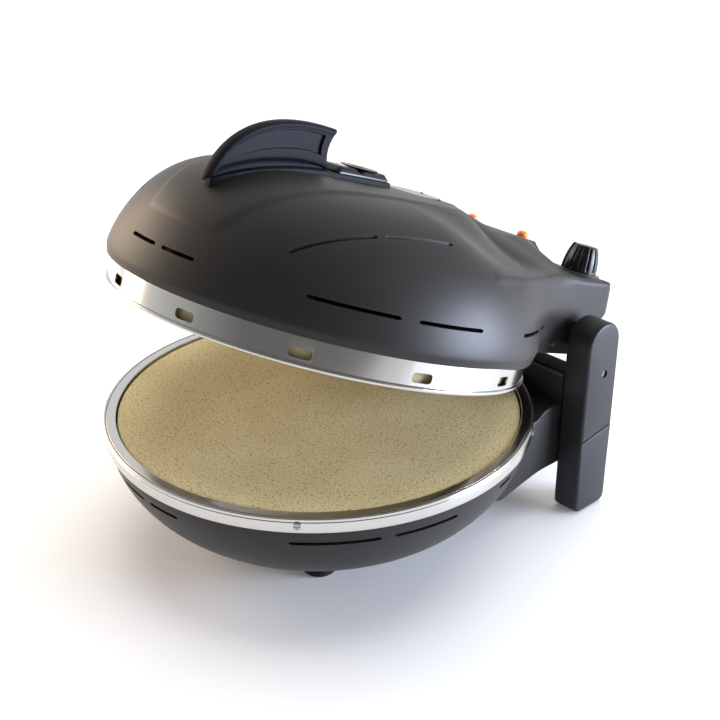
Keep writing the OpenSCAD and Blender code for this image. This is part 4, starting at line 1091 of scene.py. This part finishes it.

# %% [markdown]
# ## Flush cap
# A grey cap is let into the crown, with a small stud on top. A black rubber ring fills the gap
# round it as painted shade: it draws the dark outline that the gap's shade would give. A decal
# would look the same from afar. Near by, the dark line of a real gap tells it apart, so a
# well is cut in the shell, and the three turned parts stand in it.

# %% Flush cap
CAP_AT = (0, 67)
STUD_AT = (0, 79)
well = soften([[0, 228.5], [23.6, 228.5], [24.0, 236], [0, 236]], [0, 0.3, 0.3, 0], closed=False)
turned_cut(lid_shell, well, 96, CAP_AT, LID_CREASE)
profile = soften([[0, 228.2], [22.6, 228.2], [22.9, 230.1], [22.3, 230.7], [12, 230.85], [0, 230.9]],
                 [0, 0, 0.4, 0.5, 0, 0], closed=False)
cap_piece = turned_piece("flush_cap_skin", profile, 120, "lid", "cap_grey", CAP_AT, lid=True)
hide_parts("flush_cap")
# A black ring fills the gap round the cap: painted shade for the cap's dark outline.
profile = soften([[22.4, 228.2], [23.9, 228.2], [23.9, 230.5], [22.4, 230.5]], 0.4)
turned_piece("cap_gap_shade_ring", profile, 120, "lid", "rubber", CAP_AT, lid=True)
profile = soften([[0, 230.4], [1.3, 230.4], [1.3, 231.4], [0, 231.9]], [0, 0.1, 0.6, 0], closed=False)
turned_piece("cap_stud", profile, 24, "lid", "rubber", STUD_AT, lid=True)

# %% [markdown]
# ## Lamps
# Two amber lenses stand on the block: short cylinders with a low dome. Two scaled spheres would
# lack the straight foot. One profile is turned twice, and both are one mesh, as they are one node
# in the CAD model.

# %% Lamps
LENS_R, LENS_RISE, LENS_FOOT, LENS_Z = 4.8, 3.4, 208.6, 215.4
LENS_X, LENS_Y = 29, 185
lens = np.array([[0, LENS_FOOT], [LENS_R, LENS_FOOT], [LENS_R, LENS_Z]] + [
    [LENS_R * math.cos(q), LENS_Z + LENS_RISE * math.sin(q)] for q in np.linspace(0.1, np.pi / 2, 9)])
points = np.concatenate([lathe(lens, 32, (LENS_X * side, LENS_Y)) for side in (-1, 1)])
faces = grid_faces(len(lens), 32) + grid_faces(len(lens), 32, start=len(lens) * 32)
lamps = make_piece("lamp_lens_skins", points, faces, "lid", "lamp_amber", lid=True)
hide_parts("lamp_lenses")

# %% [markdown]
# ## Knob
# The temperature knob is a barrel with shallow grooves for the fingers and one blade as a pointer.
# It could be an array of cutters round a cylinder. One formula for the radius, with the azimuth
# and the height as its two parameters, gives grooves that fade out at both ends.

# %% Knob shape
KNOB_R, KNOB_TALL, KNOB_TOP = 14.0, 22.0, 0.97
KNOB_AT = (85, 200, 200.3)
POINTER = math.radians(-62)
BLADE_OUT, BLADE_HALF = 1.9, 0.105


def barrel(h):
    """Radius of the plain barrel at height share h: it narrows, and faster toward the top."""
    return KNOB_R - 1.0 * h - 3.6 * h ** 2.6


def knob_radius(a, h):
    """Radius at azimuth a (0 at the pointer) and height share h: the barrel, less a groove every
    30 degrees, cos(6a)^16, plus the pointer blade."""
    groove = np.cos(6 * a) ** 16 * smooth_step((np.abs(a) - 0.5) / 0.2)
    groove *= smooth_step((h - 0.06) / 0.06) * (1 - smooth_step((h - 0.9) / 0.08))
    blade = BLADE_OUT * np.clip(1.35 - np.abs(a) / BLADE_HALF, 0, 1) ** 0.4
    return barrel(h) - 1.0 * groove + blade


print("knob top radius:", round(barrel(KNOB_TOP), 1), "mm")

# %% [markdown]
# ## Knob mesh
# The knob's side is a grid over azimuth and height, with more columns near the blade. A bevel
# could round its top edge, but it would fold where the blade meets it. A few smaller rings close
# the top instead, and the blade fades out over the first three.

# %% Knob mesh
a = np.concatenate([np.linspace(-0.2, 0.2, 41), np.linspace(0.2, 2 * np.pi - 0.2, 220)[1:-1]])
h = np.concatenate([[0, 0.01], np.linspace(0.05, KNOB_TOP, 30)])
turn, rise = np.meshgrid(np.where(a > np.pi, a - 2 * np.pi, a), h)
radius = knob_radius(turn, rise)
blade_out = np.maximum(radius[-1] - barrel(KNOB_TOP), 0)
knob_rows = [np.stack([radius, KNOB_TALL * rise], -1)]
for shrink, lift, keep in ((0.975, 0.35, 1), (0.94, 0.55, 0.8), (0.88, 0.7, 0.4), (0.8, 0.8, 0),
                           (0.5, 1.0, 0), (0.25, 1.1, 0), (0.0, 1.1, 0)):
    height = KNOB_TALL * KNOB_TOP + lift + 0.5 * keep * (blade_out > 0.5)
    knob_rows.append(np.stack([barrel(KNOB_TOP) * shrink + blade_out * keep, height], -1)[None])
shape = np.vstack(knob_rows)
way = turn[:1] + POINTER
knob_grid = np.stack([shape[..., 0] * np.sin(way), -shape[..., 0] * np.cos(way), shape[..., 1]], -1)
knob_faces = grid_faces(len(shape), len(a)) + [list(range(len(a)))[::-1]]
knob = make_piece("knob_skin", knob_grid + np.array(KNOB_AT), knob_faces, "knob", "plastic_black",
                  lid=True, crease=40)
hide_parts("knob")

# %% [markdown]
# ## Floor
# The cooker stands on white studio paper. A curved backdrop could hide the horizon. A floor that
# is 80 m wide has its horizon out of view, and a little light of its own, seen only by the camera,
# by mirrors and by glass, keeps it white while it still takes the object's shadow.

# %% Floor
FLOOR_HALF, FLOOR_GLOW = 40, 0.08
floor_mesh = bpy.data.meshes.new("floor")
corners = [(-FLOOR_HALF, -FLOOR_HALF, 0), (FLOOR_HALF, -FLOOR_HALF, 0),
           (FLOOR_HALF, FLOOR_HALF, 0), (-FLOOR_HALF, FLOOR_HALF, 0)]
floor_mesh.from_pydata(corners, [], [[0, 1, 2, 3]])
floor = bpy.data.objects.new("floor", floor_mesh)
bpy.context.scene.collection.objects.link(floor)
floor_paper, tree, shader, where = new_finish("studio_paper")
shader.inputs["Base Color"].default_value = colour("#fbfbfb")
shader.inputs["Roughness"].default_value = 0.6
shader.inputs["Emission Color"].default_value = (1, 1, 1, 1)
rays = add(tree, "LightPath").outputs
seen = add(tree, "Math", {0: rays["Is Camera Ray"], 1: rays["Is Glossy Ray"]}, operation="MAXIMUM")
seen = add(tree, "Math", {0: seen.outputs["Value"], 1: rays["Is Transmission Ray"]},
           operation="MAXIMUM")
glow = add(tree, "Math", {0: seen.outputs["Value"], 1: FLOOR_GLOW}, operation="MULTIPLY")
tree.links.new(glow.outputs["Value"], shader.inputs["Emission Strength"])
floor_mesh.materials.append(floor_paper)
print("floor is", 2 * FLOOR_HALF, "m wide")

# %% [markdown]
# ## World
# To the camera and through glass the world is plain white. Mirrors see it white behind the object
# and dim on the camera's side, where a studio is dark, so polished steel gets its dark streaks. A
# sky image would bring colours of its own. To all other rays the world is a low even fill.

# %% World
FILL, DIM_SIDE = 0.32, (0.66, -0.60, 0.45)
world = bpy.data.worlds.new("studio")
bpy.context.scene.world = world
world.use_nodes = True
tree = world.node_tree
rays = add(tree, "LightPath").outputs
seen = add(tree, "Math", {0: rays["Is Camera Ray"], 1: rays["Is Transmission Ray"]},
           operation="MAXIMUM")
way = add(tree, "VectorMath", {0: add(tree, "TexCoord").outputs["Generated"], 1: DIM_SIDE},
          operation="DOT_PRODUCT")
mirror = add(tree, "MapRange", {"Value": way.outputs["Value"], "From Min": -0.3, "From Max": 0.8,
                                "To Min": 1.0, "To Max": 0.2})
fill = add(tree, "MapRange", {"Value": rays["Is Glossy Ray"], "To Min": FILL,
                              "To Max": mirror.outputs["Result"]})
level = add(tree, "MapRange", {"Value": seen.outputs["Value"], "To Min": fill.outputs["Result"],
                               "To Max": 1.0})
tree.links.new(level.outputs["Result"], tree.nodes["Background"].inputs["Strength"])
tree.nodes["Background"].inputs["Color"].default_value = (1, 1, 1, 1)
print("world fill:", FILL)

# %% [markdown]
# ## Lamps of the studio
# One wide source overhead gives the soft shadow under the bowl. It could be a big area lamp, but
# a sun with a wide angle lights every place alike. Two area lamps add a cool light from the right
# rear and a little warmth from the left. The Standard view keeps colours as they are written.

# %% Lights
sky = bpy.data.lights.new("wide_overhead", "SUN")
sky.energy, sky.angle = 2.15, math.radians(62)
overhead = bpy.data.objects.new("wide_overhead", sky)
bpy.context.scene.collection.objects.link(overhead)
overhead.visible_glossy = False
overhead.rotation_euler = (math.radians(-20), math.radians(-8), 0)


def soft_lamp(name, place, aim, size, power, code):
    """A rectangular area lamp that faces a point."""
    data = bpy.data.lights.new(name, "AREA")
    data.shape = "RECTANGLE"
    data.size, data.size_y = size
    data.energy = power
    data.color = colour(code)[:3]
    lamp = bpy.data.objects.new(name, data)
    bpy.context.scene.collection.objects.link(lamp)
    lamp.location = place
    lamp.rotation_euler = (Vector(aim) - Vector(place)).to_track_quat("-Z", "Y").to_euler()


soft_lamp("right_lamp", (1.35, 1.1, 0.3), (0, 0, 0.16), (0.9, 0.6), 58, "#dbe6ff")
soft_lamp("left_lamp", (-1.5, -0.45, 0.6), (0, 0, 0.2), (1.1, 0.9), 17, "#ffe0c0")
bpy.context.scene.view_settings.view_transform = "Standard"
print("lights:", sorted(light.name for light in bpy.data.lights))
